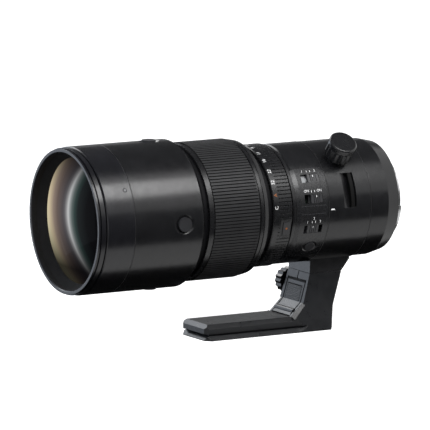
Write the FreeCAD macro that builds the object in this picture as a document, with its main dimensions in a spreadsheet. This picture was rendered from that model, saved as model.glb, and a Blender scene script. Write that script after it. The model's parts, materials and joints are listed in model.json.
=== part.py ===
import FreeCAD, Part
import math
import os
import re

import Sketcher

# A large telephoto lens with focus and aperture rings, a switch panel, a rotating tripod collar
# and a detachable foot. The lens axis is Y, the front glass looks along -Y, +Z is up, and the
# origin is the middle of the mounting flange's face.

# Driving sizes in millimetres and degrees. Angles round the lens are counted from +X towards +Z.
SIZES = {
    # Lengths along the axis, from the mounting flange forward
    "rear_length": 24.2,
    "rear_cone_length": 10.3,
    "rear_lip": 0.6,
    "collar_length": 34.7,
    "panel_length": 26.4,
    "index_groove": 1.2,
    "index_ring": 1.8,
    "ring_gap": 1.4,
    "aperture_grip_length": 10.3,
    "number_band_length": 4.4,
    "dark_gap_length": 6.6,
    "focus_band_length": 7.6,
    "focus_grip_length": 35.4,
    "focus_rim_length": 4.0,
    "band_groove_length": 1.5,
    "band_land_length": 2.2,
    "band_slit_length": 0.9,
    "band_slit_depth": 0.8,
    "band_step": 0.2,
    "barrel_gap_length": 4.4,
    "barrel_cone_length": 3.2,
    "front_barrel_length": 52.4,
    "name_band_length": 22.2,
    "hood_groove_length": 1.0,
    "hood_ring_length": 3.2,
    "lip_groove_length": 0.6,
    "lip_length": 1.5,
    # The widest radius and the steps from it inward
    "barrel_radius": 51.5,
    "barrel_wall": 2.0,
    "barrel_cone_drop": 3.2,
    "lip_drop": 1.2,
    "lip_bevel": 0.8,
    "hood_ring_drop": 0.5,
    "hood_groove_drop": 2.2,
    "filter_drop": 4.0,
    "filter_length": 3.8,
    "tube_drop": 6.0,
    "core_wall": 1.2,
    "rim_wall": 2.3,
    "grip_wall": 3.0,
    "aperture_drop": 5.0,
    "aperture_wall": 2.5,
    "panel_wall": 1.7,
    "index_depth": 1.0,
    "neck_drop": 6.0,
    "tube_wall": 2.5,
    "collar_wall": 7.5,
    "rear_drop": 0.8,
    "rear_taper": 2.3,
    # Clearances
    "fit_gap": 0.1,
    "run_gap": 0.08,
    "turn_gap": 0.3,
    "seam_gap": 0.2,
    "edge_break": 0.6,
    # Grip ribs
    "focus_ribs": 130,
    "focus_rib_depth": 0.8,
    "focus_rib_width": 1.3,
    "aperture_ribs": 100,
    "aperture_rib_depth": 0.7,
    "aperture_rib_width": 1.3,
    # Front glass and its seat
    "element_drop": 6.5,
    "element_curve": 240.0,
    "element_edge_length": 7.0,
    "edge_gap": 0.3,
    "clear_drop": 7.8,
    "clamp_flange": 0.8,
    "glass_flange": 4.2,
    "cell_overlap": 8.0,
    "second_drop": 4.0,
    "second_length": 7.0,
    "second_spacing": 2.5,
    # Focus hold buttons
    "hold_setback": 14.2,
    "hold_radius": 5.0,
    "hold_proud": 0.75,
    "hold_length": 4.0,
    "dish_radius": 8.8,
    "dish_depth": 1.3,
    # Aperture lock button
    "lock_angle": -15.0,
    "lock_length": 5.4,
    "lock_width": 9.4,
    "lock_height": 1.3,
    "lock_setback": 3.6,
    "lock_sink": 0.3,
    "window_length": 8.6,
    "window_width": 13.6,
    "window_depth": 0.8,
    # Switch panel
    "plate_top_angle": 42.0,
    "plate_bottom_angle": -52.0,
    "plate_front_margin": 0.3,
    "plate_slope_length": 2.6,
    "plate_rear_margin": 1.5,
    "plate_raise": 0.3,
    "plate_tool_margin": 1.0,
    "slot_length": 14.6,
    "slot_width": 6.2,
    "slider_length": 9.0,
    "slider_flange": 1.0,
    "slider_sink": 0.3,
    "slider_rib": 0.5,
    "switch_middle": 12.6,
    "limit_angle": 31.5,
    "steady_angle": 11.5,
    "preset_angle": -18.0,
    "set_angle": -39.0,
    "set_middle": 11.0,
    "set_radius": 4.0,
    "set_recess_radius": 7.0,
    "set_recess_depth": 0.8,
    "set_proud": 0.2,
    "set_travel": 1.0,
    "board_thickness": 2.0,
    # Tripod collar, strap slots and lock knob
    "strap_angle": 17.0,
    "strap_length": 24.4,
    "strap_front": 46.8,
    "strap_rear": 36.8,
    "strap_ramp": 1.0,
    "strap_depth": 5.2,
    "strap_bar_length": 2.8,
    "strap_bar_thickness": 2.8,
    "strap_bar_sink": 0.4,
    "strap_bar_setback": 1.2,
    "knob_angle": 51.0,
    "knob_place": 45.0,
    "knob_radius": 9.5,
    "knob_neck_radius": 6.4,
    "knob_neck_height": 2.6,
    "knob_rim_height": 8.2,
    "knob_top_height": 3.2,
    "knob_top_radius": 8.4,
    "knob_flutes": 16,
    "flute_depth": 0.9,
    "knob_screw_radius": 2.5,
    "boss_radius": 7.0,
    "boss_height": 0.7,
    "stub_rear": 33.0,
    "stub_flare": 26.5,
    "stub_flare_rise": 0.9,
    "stub_front_lean": 0.5,
    # Foot: heights are counted down from the seam under the collar
    "seam_drop": 7.4,
    "foot_top_drop": 29.3,
    "foot_front": 144.0,
    "foot_rear": 41.9,
    "leg_kink_place": 40.9,
    "leg_kink_drop": 23.3,
    "leg_bend_place": 64.7,
    "leg_bend_drop": 20.2,
    "leg_toe_place": 74.0,
    "leg_half_width": 14.65,
    "rail_half_width": 19.0,
    "rail_height": 8.4,
    "rail_edge": 0.6,
    "rail_slope": 3.4,
    "rail_groove": 0.7,
    "plate_half_width": 17.4,
    "plate_bevel": 2.8,
    "corner_cut": 4.2,
    "heel_cut": 1.8,
    "rail_runout": 70.0,
    "runout_radius": 12.0,
    "tongue_length": 22.0,
    "tongue_depth": 5.6,
    "tongue_top_half": 6.6,
    "tongue_base_half": 8.6,
    "tongue_setback": 2.0,
    "jaw_slit": 0.8,
    "jaw_slit_depth": 14.0,
    "small_thread_radius": 3.175,
    "large_thread_radius": 4.76,
    "thread_depth": 8.0,
    "small_thread_place": 122.0,
    "large_thread_place": 102.0,
    # Foot clamp knob and release latch
    "clamp_place": 54.7,
    "clamp_drop": 9.9,
    "clamp_radius": 9.4,
    "clamp_length": 9.6,
    "clamp_screw_radius": 2.0,
    "clamp_screw_end": 9.0,
    "clamp_stand": 1.6,
    "clamp_stand_radius": 4.7,
    "latch_half_width": 12.2,
    "latch_top_drop": 5.6,
    "latch_thickness": 1.6,
    "latch_pocket_depth": 3.8,
    "latch_gap": 0.5,
    "latch_pin_radius": 1.0,
    "latch_pin_half": 14.0,
    "latch_knuckle": 2.2,
    "latch_pivot_share": 0.7,
    "latch_rib_count": 9,
    "latch_rib_half": 9.2,
    "latch_rib_height": 0.4,
    "latch_rib_drop": 10.1,
    # Mount
    "flange_thickness": 3.2,
    "flange_width": 2.1,
    "bayonet_drop": 5.8,
    "bayonet_length": 5.6,
    "bayonet_wall": 1.8,
    "claw_reach": 1.5,
    "claw_thickness": 2.0,
    "claw_angle": 46.0,
    "contact_angle": 62.0,
    "contact_thickness": 3.4,
    "contact_length": 5.0,
    "contact_pads": 12,
    "contact_pad_width": 1.4,
    "contact_pad_height": 0.4,
    "baffle_thickness": 1.2,
    "baffle_width_share": 0.724,
    "baffle_height_share": 0.534,
    # Inner groups: places counted forward from the flange, sizes as shares of the bore
    "rear_cell_place": 22.0,
    "rear_cell_length": 12.0,
    "rear_glass_length": 6.0,
    "rear_glass_share": 0.75,
    "steady_place": 50.0,
    "steady_length": 8.0,
    "steady_plate": 1.8,
    "steady_share": 0.64,
    "steady_frame_width": 3.2,
    "steady_frame_length": 4.0,
    "steady_play": 0.8,
    "steady_cell_margin": 1.4,
    "focus_place": 70.0,
    "focus_length": 8.0,
    "focus_glass_share": 0.63,
    "carriage_share": 0.7,
    "carriage_arm_half": 3.0,
    "rod_radius": 1.25,
    "rod_setback": 3.4,
    "motor_width": 14.0,
    "motor_length": 22.0,
    "motor_height": 4.6,
    "iris_place": 92.0,
    "iris_length": 6.0,
    "iris_share": 0.64,
}

# Places along the axis that follow from the lengths, and radii that follow from other radii
PLACES = {
    "rear_seam": "-rear_length",
    "rear_cone": "-rear_cone_length",
    "rear_end": "-rear_lip",
    "flange_rear": "-flange_thickness",
    "panel_rear": "rear_seam - collar_length",
    "panel_front": "panel_rear - panel_length",
    "index_rear": "panel_front - index_groove",
    "index_front": "index_rear - index_ring",
    "aperture_rear": "index_front - ring_gap",
    "number_rear": "aperture_rear - aperture_grip_length",
    "aperture_front": "number_rear - number_band_length",
    "focus_rear": "aperture_front - dark_gap_length",
    "grip_rear": "focus_rear - focus_band_length",
    "grip_front": "grip_rear - focus_grip_length",
    "rim_front": "grip_front - focus_rim_length",
    "cone_rear": "rim_front - barrel_gap_length",
    "barrel_edge": "cone_rear - barrel_cone_length",
    "barrel_seam": "barrel_edge - front_barrel_length",
    "name_front": "barrel_seam - name_band_length",
    "hood_rear": "name_front - hood_groove_length",
    "hood_front": "hood_rear - hood_ring_length",
    "lip_rear": "hood_front - lip_groove_length",
    "lip_front": "lip_rear - lip_length",
    "filter_rear": "lip_front + lip_bevel + filter_length",
    "barrel_inner": "barrel_radius - barrel_wall",
    "lip_radius": "barrel_radius - lip_drop",
    "hood_ring_radius": "barrel_radius - hood_ring_drop",
    "hood_groove_radius": "barrel_radius - hood_groove_drop",
    "filter_radius": "barrel_radius - filter_drop",
    "cell_radius": "barrel_inner - fit_gap",
    "clear_radius": "barrel_radius - clear_drop",
    "focus_tube_radius": "barrel_radius - tube_drop",
    "focus_core_radius": "focus_tube_radius + core_wall",
    "focus_rim_radius": "focus_tube_radius + rim_wall",
    "focus_grip_radius": "focus_tube_radius + grip_wall",
    "focus_inner": "focus_tube_radius + run_gap",
    "aperture_tube_radius": "focus_tube_radius - aperture_drop",
    "aperture_radius": "aperture_tube_radius + aperture_wall",
    "aperture_inner": "aperture_tube_radius + run_gap",
    "panel_radius": "aperture_tube_radius + panel_wall",
    "panel_inner": "aperture_tube_radius + fit_gap",
    "neck_radius": "aperture_tube_radius - neck_drop",
    "neck_bore": "neck_radius - tube_wall",
    "main_bore": "aperture_tube_radius - tube_wall",
    "collar_radius": "neck_radius + collar_wall",
    "collar_bore": "neck_radius + run_gap",
    "rear_radius": "collar_radius - rear_drop",
    "rear_rim_radius": "rear_radius - rear_taper",
    "flange_radius": "neck_radius + flange_width",
    "bayonet_radius": "flange_radius - bayonet_drop",
    "throat_radius": "bayonet_radius - bayonet_wall",
    "claw_radius": "bayonet_radius + claw_reach",
    "baffle_half_width": "throat_radius * baffle_width_share",
    "baffle_half_height": "throat_radius * baffle_height_share",
    "land_front": "grip_rear + band_groove_length",
    "slit_front": "land_front + band_land_length",
    "slit_rear": "slit_front + band_slit_length",
    "slit_floor": "focus_rim_radius - band_slit_depth",
    "rear_land_radius": "focus_rim_radius - band_step",
    "tube_step": "focus_rear - fit_gap",
    "tube_neck": "panel_front + panel_wall",
    "glass_plane": "name_front + glass_flange",
    "cell_front": "glass_plane + fit_gap",
    "cell_rear": "barrel_seam + cell_overlap",
    "element_radius": "barrel_radius - element_drop",
    "element_edge": "glass_plane + edge_gap",
    "element_vertex": "element_edge - element_curve + sqrt(element_curve^2 - element_radius^2)",
    "element_seat": "element_edge + element_edge_length",
    "second_radius": "element_radius - second_drop",
    "second_front": "element_seat + second_spacing",
    "second_rear": "second_front + second_length",
    "hold_middle": "barrel_edge - hold_setback",
    "hold_base": "barrel_radius - hold_length",
    "plate_front": "panel_front + plate_front_margin",
    "plate_rear": "panel_rear - plate_rear_margin",
    "plate_outer": "panel_radius + plate_raise",
    "board_front": "tube_neck + turn_gap",
    "plate_low_tool": "panel_inner - plate_tool_margin",
    "plate_high_tool": "plate_outer + plate_tool_margin",
    "plate_gap_angle": "180 / pi * fit_gap / panel_radius",
    "board_base": "neck_radius + fit_gap",
    "board_top": "board_base + board_thickness",
    "slider_low": "board_top + turn_gap",
    "slider_shoulder": "panel_inner - turn_gap - slider_flange / 2",
    "slider_top": "plate_outer - slider_sink",
    "slider_end": "(slot_length - slider_length) / 2 - seam_gap",
    "switch_line": "panel_rear - switch_middle",
    "set_line": "panel_rear - set_middle",
    "lock_line": "aperture_rear - lock_setback",
    "lock_top": "aperture_radius - lock_sink",
    "collar_front": "panel_rear + turn_gap",
    "collar_rear": "rear_seam - turn_gap",
    "knob_base": "collar_radius + boss_height + run_gap",
    "knob_rim": "knob_base + knob_neck_height",
    "knob_height": "knob_rim_height + knob_top_height",
    "stub_front": "panel_rear + seam_gap",
    "stub_flare_height": "collar_radius - stub_flare_rise",
    "seam_height": "collar_radius + seam_drop",
    "tongue_front": "stub_front + tongue_setback",
    "tongue_floor": "seam_height + tongue_depth",
    "foot_top_height": "seam_height + foot_top_drop",
    "leg_kink_height": "seam_height + leg_kink_drop",
    "leg_bend_height": "seam_height + leg_bend_drop",
    "leg_base_height": "foot_top_height + plate_bevel",
    "foot_base_height": "leg_base_height + rail_height",
    "rail_top_height": "foot_base_height - rail_edge",
    "groove_half": "rail_half_width - rail_slope",
    "groove_top_height": "rail_top_height - rail_slope - rail_groove",
    "face_slope": "(leg_bend_place + stub_front) / leg_bend_drop",
    "toe_run": "leg_toe_place - leg_bend_place",
    "toe_drop": "foot_top_height - leg_bend_height",
    "toe_bevel_slope": "plate_bevel / (plate_half_width - leg_half_width)",
    "latch_top_height": "seam_height + latch_top_drop",
    "latch_top_face": "stub_front - latch_top_drop * face_slope",
    "latch_rib_pitch": "(leg_bend_drop - latch_rib_drop) / latch_rib_count",
    "latch_pivot_height": "-leg_bend_height - latch_pivot_share * (foot_top_height - leg_bend_height)",
    "latch_pivot_place": "latch_thickness - leg_bend_place"
                         " - latch_pivot_share * (leg_toe_place - leg_bend_place)",
    "clamp_height": "seam_height + clamp_drop",
    "clamp_slope": "(plate_half_width - leg_half_width) / (leg_base_height - seam_height)",
    "clamp_seat": "leg_half_width + (clamp_drop + clamp_stand_radius) * clamp_slope + run_gap",
    "cell_plate_radius": "neck_bore - fit_gap",
    "rear_glass_radius": "neck_bore * rear_glass_share",
    "steady_rear": "-steady_place",
    "steady_front": "steady_rear - steady_length",
    "steady_floor": "steady_rear - steady_plate",
    "steady_half": "neck_bore * steady_share",
    "frame_half": "steady_half - steady_play",
    "window_half": "frame_half - steady_frame_width",
    "steady_cell_half": "window_half - run_gap",
    "steady_glass_radius": "steady_cell_half - steady_play - steady_cell_margin",
    "frame_rear": "steady_floor - fit_gap",
    "frame_front": "frame_rear - steady_frame_length",
    "focus_rear_face": "-focus_place",
    "focus_front_face": "focus_rear_face - focus_length",
    "focus_glass_radius": "neck_bore * focus_glass_share",
    "carriage_half": "neck_bore * carriage_share",
    "rod_circle": "neck_bore - rod_setback",
    "motor_low": "-sqrt(cell_plate_radius^2 - motor_width^2 / 4)",
    "iris_rear": "-iris_place",
    "iris_outer": "main_bore - fit_gap",
    "iris_opening": "main_bore * iris_share",
}

doc = FreeCAD.newDocument("TelephotoLens")
sheet = doc.addObject("Spreadsheet::Sheet", "Size")
for row, (name, number) in enumerate(SIZES.items(), start=1):
    sheet.set(f"A{row}", name)
    sheet.set(f"B{row}", str(number))
    sheet.setAlias(f"B{row}", name)
doc.recompute()

place = doc.addObject("App::VarSet", "Place")


def formula(text):
    """Say which table each named size in a formula comes from."""

    def owned(match):
        word = match.group()
        if word in SIZES:
            return f"Size.{word}"
        if word in PLACES:
            return f"Place.{word}"
        return word

    return re.sub(r"[a-z_]+", owned, text)


def own_formula(text):
    """The same inside the table of places, which names its own entries without the table."""
    return formula(text).replace("Place.", "")


for name, text in PLACES.items():
    place.addProperty("App::PropertyFloat", name)
    place.setExpression(name, own_formula(text))
doc.recompute()

AXIS_X = FreeCAD.Vector(1, 0, 0)
AXIS_Y = FreeCAD.Vector(0, 1, 0)
ORIGIN = FreeCAD.Vector(0, 0, 0)
ALONG_LENS = FreeCAD.Rotation(AXIS_X, -90)
nodes = []


def bind(thing, **formulas):
    """Tie properties to formulas; base_x, base_y and base_z stand for the place of the thing."""
    for name, text in formulas.items():
        path = name.replace("base_", ".Placement.Base.") if name.startswith("base_") else name
        thing.setExpression(path, formula(text))
    return thing


def origin_plane(body, role):
    """One of a body's own origin planes or axes."""
    return next(item for item in body.Origin.OriginFeatures if item.Role == role)


def outline_sketch(body, name, role, outline):
    """A closed outline on an origin plane, every corner tied to the sizes."""
    sketch = body.newObject("Sketcher::SketchObject", name)
    sketch.AttachmentSupport = [(origin_plane(body, role), "")]
    sketch.MapMode = "FlatFace"
    count = len(outline)
    corners = []
    for index in range(count):
        turn = 2 * math.pi * index / count
        corners.append(FreeCAD.Vector(math.cos(turn), math.sin(turn), 0))
    lines = [Part.LineSegment(corners[i], corners[(i + 1) % count]) for i in range(count)]
    sketch.addGeometry(lines, False)
    rules = [Sketcher.Constraint("Coincident", i, 2, (i + 1) % count, 1) for i in range(count)]
    for index, corner in enumerate(corners):
        rules.append(Sketcher.Constraint("DistanceX", -1, 1, index, 1, corner.x))
        rules.append(Sketcher.Constraint("DistanceY", -1, 1, index, 1, corner.y))
    sketch.addConstraint(rules)
    for index, (across, up) in enumerate(outline):
        sketch.setExpression(f"Constraints[{count + 2 * index}]", formula(across))
        sketch.setExpression(f"Constraints[{count + 2 * index + 1}]", formula(up))
    return sketch


def turned(name, outline):
    """A ring turned about the lens axis from an outline of (place along Y, radius)."""
    body = doc.addObject("PartDesign::Body", name)
    sketch = outline_sketch(body, name + "_outline", "YZ_Plane", outline)
    turn = body.newObject("PartDesign::Revolution", name + "_turn")
    turn.Profile = sketch
    turn.ReferenceAxis = (sketch, ["H_Axis"])
    turn.Angle = 360
    return body


def spun(name, outline):
    """A round piece turned about an upright axis from an outline of (radius, height)."""
    body = doc.addObject("PartDesign::Body", name)
    sketch = outline_sketch(body, name + "_outline", "XZ_Plane", outline)
    turn = body.newObject("PartDesign::Revolution", name + "_turn")
    turn.Profile = sketch
    turn.ReferenceAxis = (sketch, ["V_Axis"])
    turn.Angle = 360
    return body


def slab(name, role, outline, thickness, centred=True):
    """A plate of one outline, padded square to its plane."""
    body = doc.addObject("PartDesign::Body", name)
    sketch = outline_sketch(body, name + "_outline", role, outline)
    pad = body.newObject("PartDesign::Pad", name + "_pad")
    pad.Profile = sketch
    pad.Midplane = centred
    pad.setExpression("Length", formula(thickness))
    return body


def drum(name, start, end, radius):
    """A solid cylinder on the lens axis."""
    cylinder = doc.addObject("Part::Cylinder", name)
    cylinder.Placement = FreeCAD.Placement(ORIGIN, ALONG_LENS)
    return bind(cylinder, Radius=radius, Height=f"{end} - ({start})", base_y=start)


def rod(name, start, end, radius, across, up):
    """A cylinder beside the lens axis and along it."""
    cylinder = drum(name, start, end, radius)
    return bind(cylinder, base_x=across, base_z=up)


def post(name, along, low, high, radius):
    """An upright cylinder above the lens axis."""
    cylinder = doc.addObject("Part::Cylinder", name)
    return bind(cylinder, Radius=radius, Height=f"{high} - ({low})", base_y=along, base_z=low)


def crossbar(name, start, end, radius, along, up):
    """A cylinder along X."""
    cylinder = doc.addObject("Part::Cylinder", name)
    cylinder.Placement = FreeCAD.Placement(ORIGIN, FreeCAD.Rotation(AXIS_Y, 90))
    bind(cylinder, Radius=radius, Height=f"{end} - ({start})")
    return bind(cylinder, base_x=start, base_y=along, base_z=up)


def block(name, across, along, low, high, middle_x="0", middle_y="0"):
    """A box of the widths across and along, centred on a middle, between two heights."""
    box = doc.addObject("Part::Box", name)
    bind(box, Length=across, Width=along, Height=f"{high} - ({low})")
    bind(box, base_x=f"{middle_x} - ({across}) / 2", base_y=f"{middle_y} - ({along}) / 2")
    return bind(box, base_z=low)


def group(name, members):
    """Several separate solids kept as one object."""
    compound = doc.addObject("Part::Compound", name)
    compound.Links = members
    return compound


def cut(name, base, *tools):
    """The base less its tools."""
    result = doc.addObject("Part::Cut", name)
    result.Base = base
    result.Tool = tools[0] if len(tools) == 1 else group(name + "_tools", list(tools))
    return result


def fuse(name, *members):
    """Members joined to one solid."""
    result = doc.addObject("Part::MultiFuse", name)
    result.Shapes = list(members)
    result.Refine = True
    return result


def common(name, first, second):
    """What two solids share."""
    result = doc.addObject("Part::Common", name)
    result.Base = first
    result.Tool = second
    return result


def swing(thing, angle):
    """Turn what was drawn on top of the lens to its own angle round the axis."""
    thing.Placement = FreeCAD.Placement(ORIGIN, FreeCAD.Rotation(AXIS_Y, 1))
    return bind(thing, **{"Placement.Rotation.Angle": f"90 - ({angle})"})


def sector(name, start, end, inner, outer, low_angle, high_angle):
    """Part of a tube wall between two angles round the lens axis."""
    wedge = drum(name + "_wedge", start, end, outer)
    bind(wedge, Angle=f"({high_angle}) - ({low_angle})")
    core = drum(name + "_core", start, end, inner)
    result = cut(name, wedge, core)
    result.Placement = FreeCAD.Placement(ORIGIN, FreeCAD.Rotation(AXIS_Y, 1))
    return bind(result, **{"Placement.Rotation.Angle": f"-({high_angle})"})


def dome(name, vertex, curve):
    """A ball whose front point lies on the lens axis."""
    ball = doc.addObject("Part::Sphere", name)
    return bind(ball, Radius=curve, base_y=f"{vertex} + ({curve})")


def node(label, thing):
    """Mark a finished sub-part and give it the name of its file."""
    thing.Label = label
    nodes.append(thing)
    return thing


def grooved_ring(name, outline, rear, front, radius, depth, width, count):
    """A turned ring with V grooves along its outside between two places."""
    body = turned(name, outline)
    half = f"({width}) / 2"
    groove_outline = [
        (f"-{half}", f"{radius} + edge_break"),
        (half, f"{radius} + edge_break"),
        ("0", f"{radius} - ({depth})"),
    ]
    sketch = outline_sketch(body, name + "_groove_outline", "XZ_Plane", groove_outline)
    sketch.AttachmentOffset = FreeCAD.Placement()
    sketch.setExpression(".AttachmentOffset.Base.z", formula(f"-({rear})"))
    groove = body.newObject("PartDesign::Pocket", name + "_groove")
    groove.Profile = sketch
    groove.Reversed = True
    groove.setExpression("Length", formula(f"{rear} - ({front})"))
    pattern = body.newObject("PartDesign::PolarPattern", name + "_grooves")
    pattern.Originals = [groove]
    pattern.Axis = (origin_plane(body, "Y_Axis"), [""])
    pattern.Angle = 360
    pattern.setExpression("Occurrences", formula(count))
    body.Tip = pattern
    return body


def front_group():
    """The front ring with its filter and hood seats, and the two front lenses."""
    node("front_ring", turned("front_ring", [
        ("lip_front", "filter_radius + lip_bevel"),
        ("lip_front", "lip_radius"),
        ("lip_rear", "lip_radius"),
        ("lip_rear", "hood_groove_radius"),
        ("hood_front", "hood_groove_radius"),
        ("hood_front", "hood_ring_radius"),
        ("hood_rear", "hood_ring_radius"),
        ("hood_rear", "hood_groove_radius"),
        ("name_front", "hood_groove_radius"),
        ("name_front", "barrel_radius - edge_break"),
        ("name_front + edge_break", "barrel_radius"),
        ("barrel_seam - seam_gap", "barrel_radius"),
        ("barrel_seam - seam_gap", "barrel_inner"),
        ("glass_plane", "barrel_inner"),
        ("glass_plane", "clear_radius"),
        ("glass_plane - clamp_flange", "clear_radius"),
        ("filter_rear", "filter_radius"),
        ("lip_front + lip_bevel", "filter_radius"),
    ]))
    blank = drum("front_element_blank", "element_vertex", "element_seat", "element_radius")
    ball = dome("front_element_ball", "element_vertex", "element_curve")
    node("front_element", common("front_element", blank, ball))
    node("second_element", drum("second_element", "second_front", "second_rear", "second_radius"))


def main_tube():
    """The stepped tube that carries the glass and that everything else is fixed to or turns on."""
    node("main_tube", turned("main_tube", [
        ("cell_front", "element_radius + fit_gap"),
        ("cell_front", "cell_radius"),
        ("cell_rear", "cell_radius"),
        ("cell_rear", "focus_tube_radius"),
        ("tube_step", "focus_tube_radius"),
        ("tube_step", "aperture_tube_radius"),
        ("tube_neck", "aperture_tube_radius"),
        ("tube_neck", "neck_radius"),
        ("flange_rear", "neck_radius"),
        ("flange_rear", "neck_bore"),
        ("tube_neck - tube_wall", "neck_bore"),
        ("tube_neck - tube_wall", "main_bore"),
        ("tube_step - tube_wall", "main_bore"),
        ("tube_step - tube_wall", "focus_tube_radius - tube_wall"),
        ("second_rear", "focus_tube_radius - tube_wall"),
        ("second_rear", "second_radius + fit_gap"),
        ("element_seat", "second_radius + fit_gap"),
        ("element_seat", "element_radius + fit_gap"),
    ]))


def front_barrel():
    """The wide front barrel and the four focus hold buttons in its dished holes."""
    blank = turned("front_barrel_blank", [
        ("barrel_seam", "barrel_inner"),
        ("barrel_seam", "barrel_radius"),
        ("barrel_edge", "barrel_radius"),
        ("cone_rear", "barrel_radius - barrel_cone_drop"),
        ("cone_rear", "focus_tube_radius + fit_gap"),
        ("barrel_edge", "barrel_inner"),
    ])
    holes = []
    for side, angle in HOLD_SIDES.items():
        hole = spun(f"hold_hole_{side}", [
            ("0", "barrel_inner - edge_break"),
            ("hold_radius + run_gap", "barrel_inner - edge_break"),
            ("hold_radius + run_gap", "barrel_radius - dish_depth"),
            ("dish_radius", "barrel_radius + edge_break"),
            ("0", "barrel_radius + edge_break"),
        ])
        holes.append(bind(swing(hole, angle), base_y="hold_middle"))
        button = post(f"hold_post_{side}", "hold_middle", "hold_base", "barrel_radius + hold_proud",
                      "hold_radius")
        node(f"focus_hold_{side}", swing(group(f"focus_hold_{side}", [button]), angle))
    node("front_barrel", cut("front_barrel", blank, *holes))


def focus_ring():
    """The focusing ring: a turned core with its bands, and the ribbed rubber sleeve on it."""
    node("focus_ring", turned("focus_ring", [
        ("rim_front", "focus_inner"),
        ("rim_front", "focus_rim_radius"),
        ("grip_front", "focus_rim_radius"),
        ("grip_front", "focus_core_radius"),
        ("grip_rear", "focus_core_radius"),
        ("grip_rear", "slit_floor"),
        ("land_front", "slit_floor"),
        ("land_front", "focus_rim_radius"),
        ("slit_front", "focus_rim_radius"),
        ("slit_front", "slit_floor"),
        ("slit_rear", "slit_floor"),
        ("slit_rear", "rear_land_radius"),
        ("focus_rear", "rear_land_radius - edge_break"),
        ("focus_rear", "focus_inner"),
    ]))
    node("focus_grip", grooved_ring("focus_grip", [
        ("grip_front", "focus_core_radius"),
        ("grip_front", "focus_grip_radius"),
        ("grip_rear", "focus_grip_radius"),
        ("grip_rear", "focus_core_radius"),
    ], "grip_rear", "grip_front", "focus_grip_radius", "focus_rib_depth", "focus_rib_width", "focus_ribs"))


def aperture_ring():
    """The aperture ring with its number band, ribs and the window of the lock button."""
    ring = grooved_ring("aperture_ring_blank", [
        ("aperture_front", "aperture_inner"),
        ("aperture_front", "aperture_radius - edge_break"),
        ("aperture_front + edge_break", "aperture_radius"),
        ("aperture_rear", "aperture_radius"),
        ("aperture_rear", "aperture_inner"),
    ], "aperture_rear", "number_rear", "aperture_radius", "aperture_rib_depth", "aperture_rib_width",
        "aperture_ribs")
    window = block("lock_window", "window_width", "window_length", "aperture_radius - window_depth",
                   "aperture_radius + edge_break", middle_y="aperture_rear - window_length / 2")
    opening = block("lock_opening", "lock_width + 2 * fit_gap", "lock_length + 2 * fit_gap",
                    "aperture_inner - 2 * edge_break", "aperture_radius + edge_break", middle_y="lock_line")
    tools = swing(group("lock_window_turn", [window, opening]), "lock_angle")
    node("aperture_ring", cut("aperture_ring", ring, tools))
    button = block("lock_button_block", "lock_width", "lock_length", "lock_top - lock_height", "lock_top",
                   middle_y="lock_line")
    node("aperture_lock", swing(group("aperture_lock", [button]), "lock_angle"))


def slider(name, angle, offset):
    """A switch knob with its ribs, held under the plate by a flange."""
    middle = f"switch_line + ({offset})"
    knob = block(f"{name}_knob", "slot_width - 2 * fit_gap", "slider_length", "slider_low", "slider_top",
                 middle_y=middle)
    flange = block(f"{name}_flange", "slot_width + 2 * slider_flange", "slider_length + 2 * slider_flange",
                   "slider_low", "slider_shoulder", middle_y=middle)
    notches = []
    for index in range(SLIDER_NOTCHES):
        step = index - (SLIDER_NOTCHES - 1) / 2
        notches.append(block(f"{name}_notch_{index + 1}", "slot_width", "slider_rib",
                             "slider_top - slider_rib", "plate_outer",
                             middle_y=f"{middle} + ({step}) * 3 * slider_rib"))
    body = fuse(f"{name}_body", knob, flange)
    return node(name, swing(cut(name, body, *notches), angle))


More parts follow.
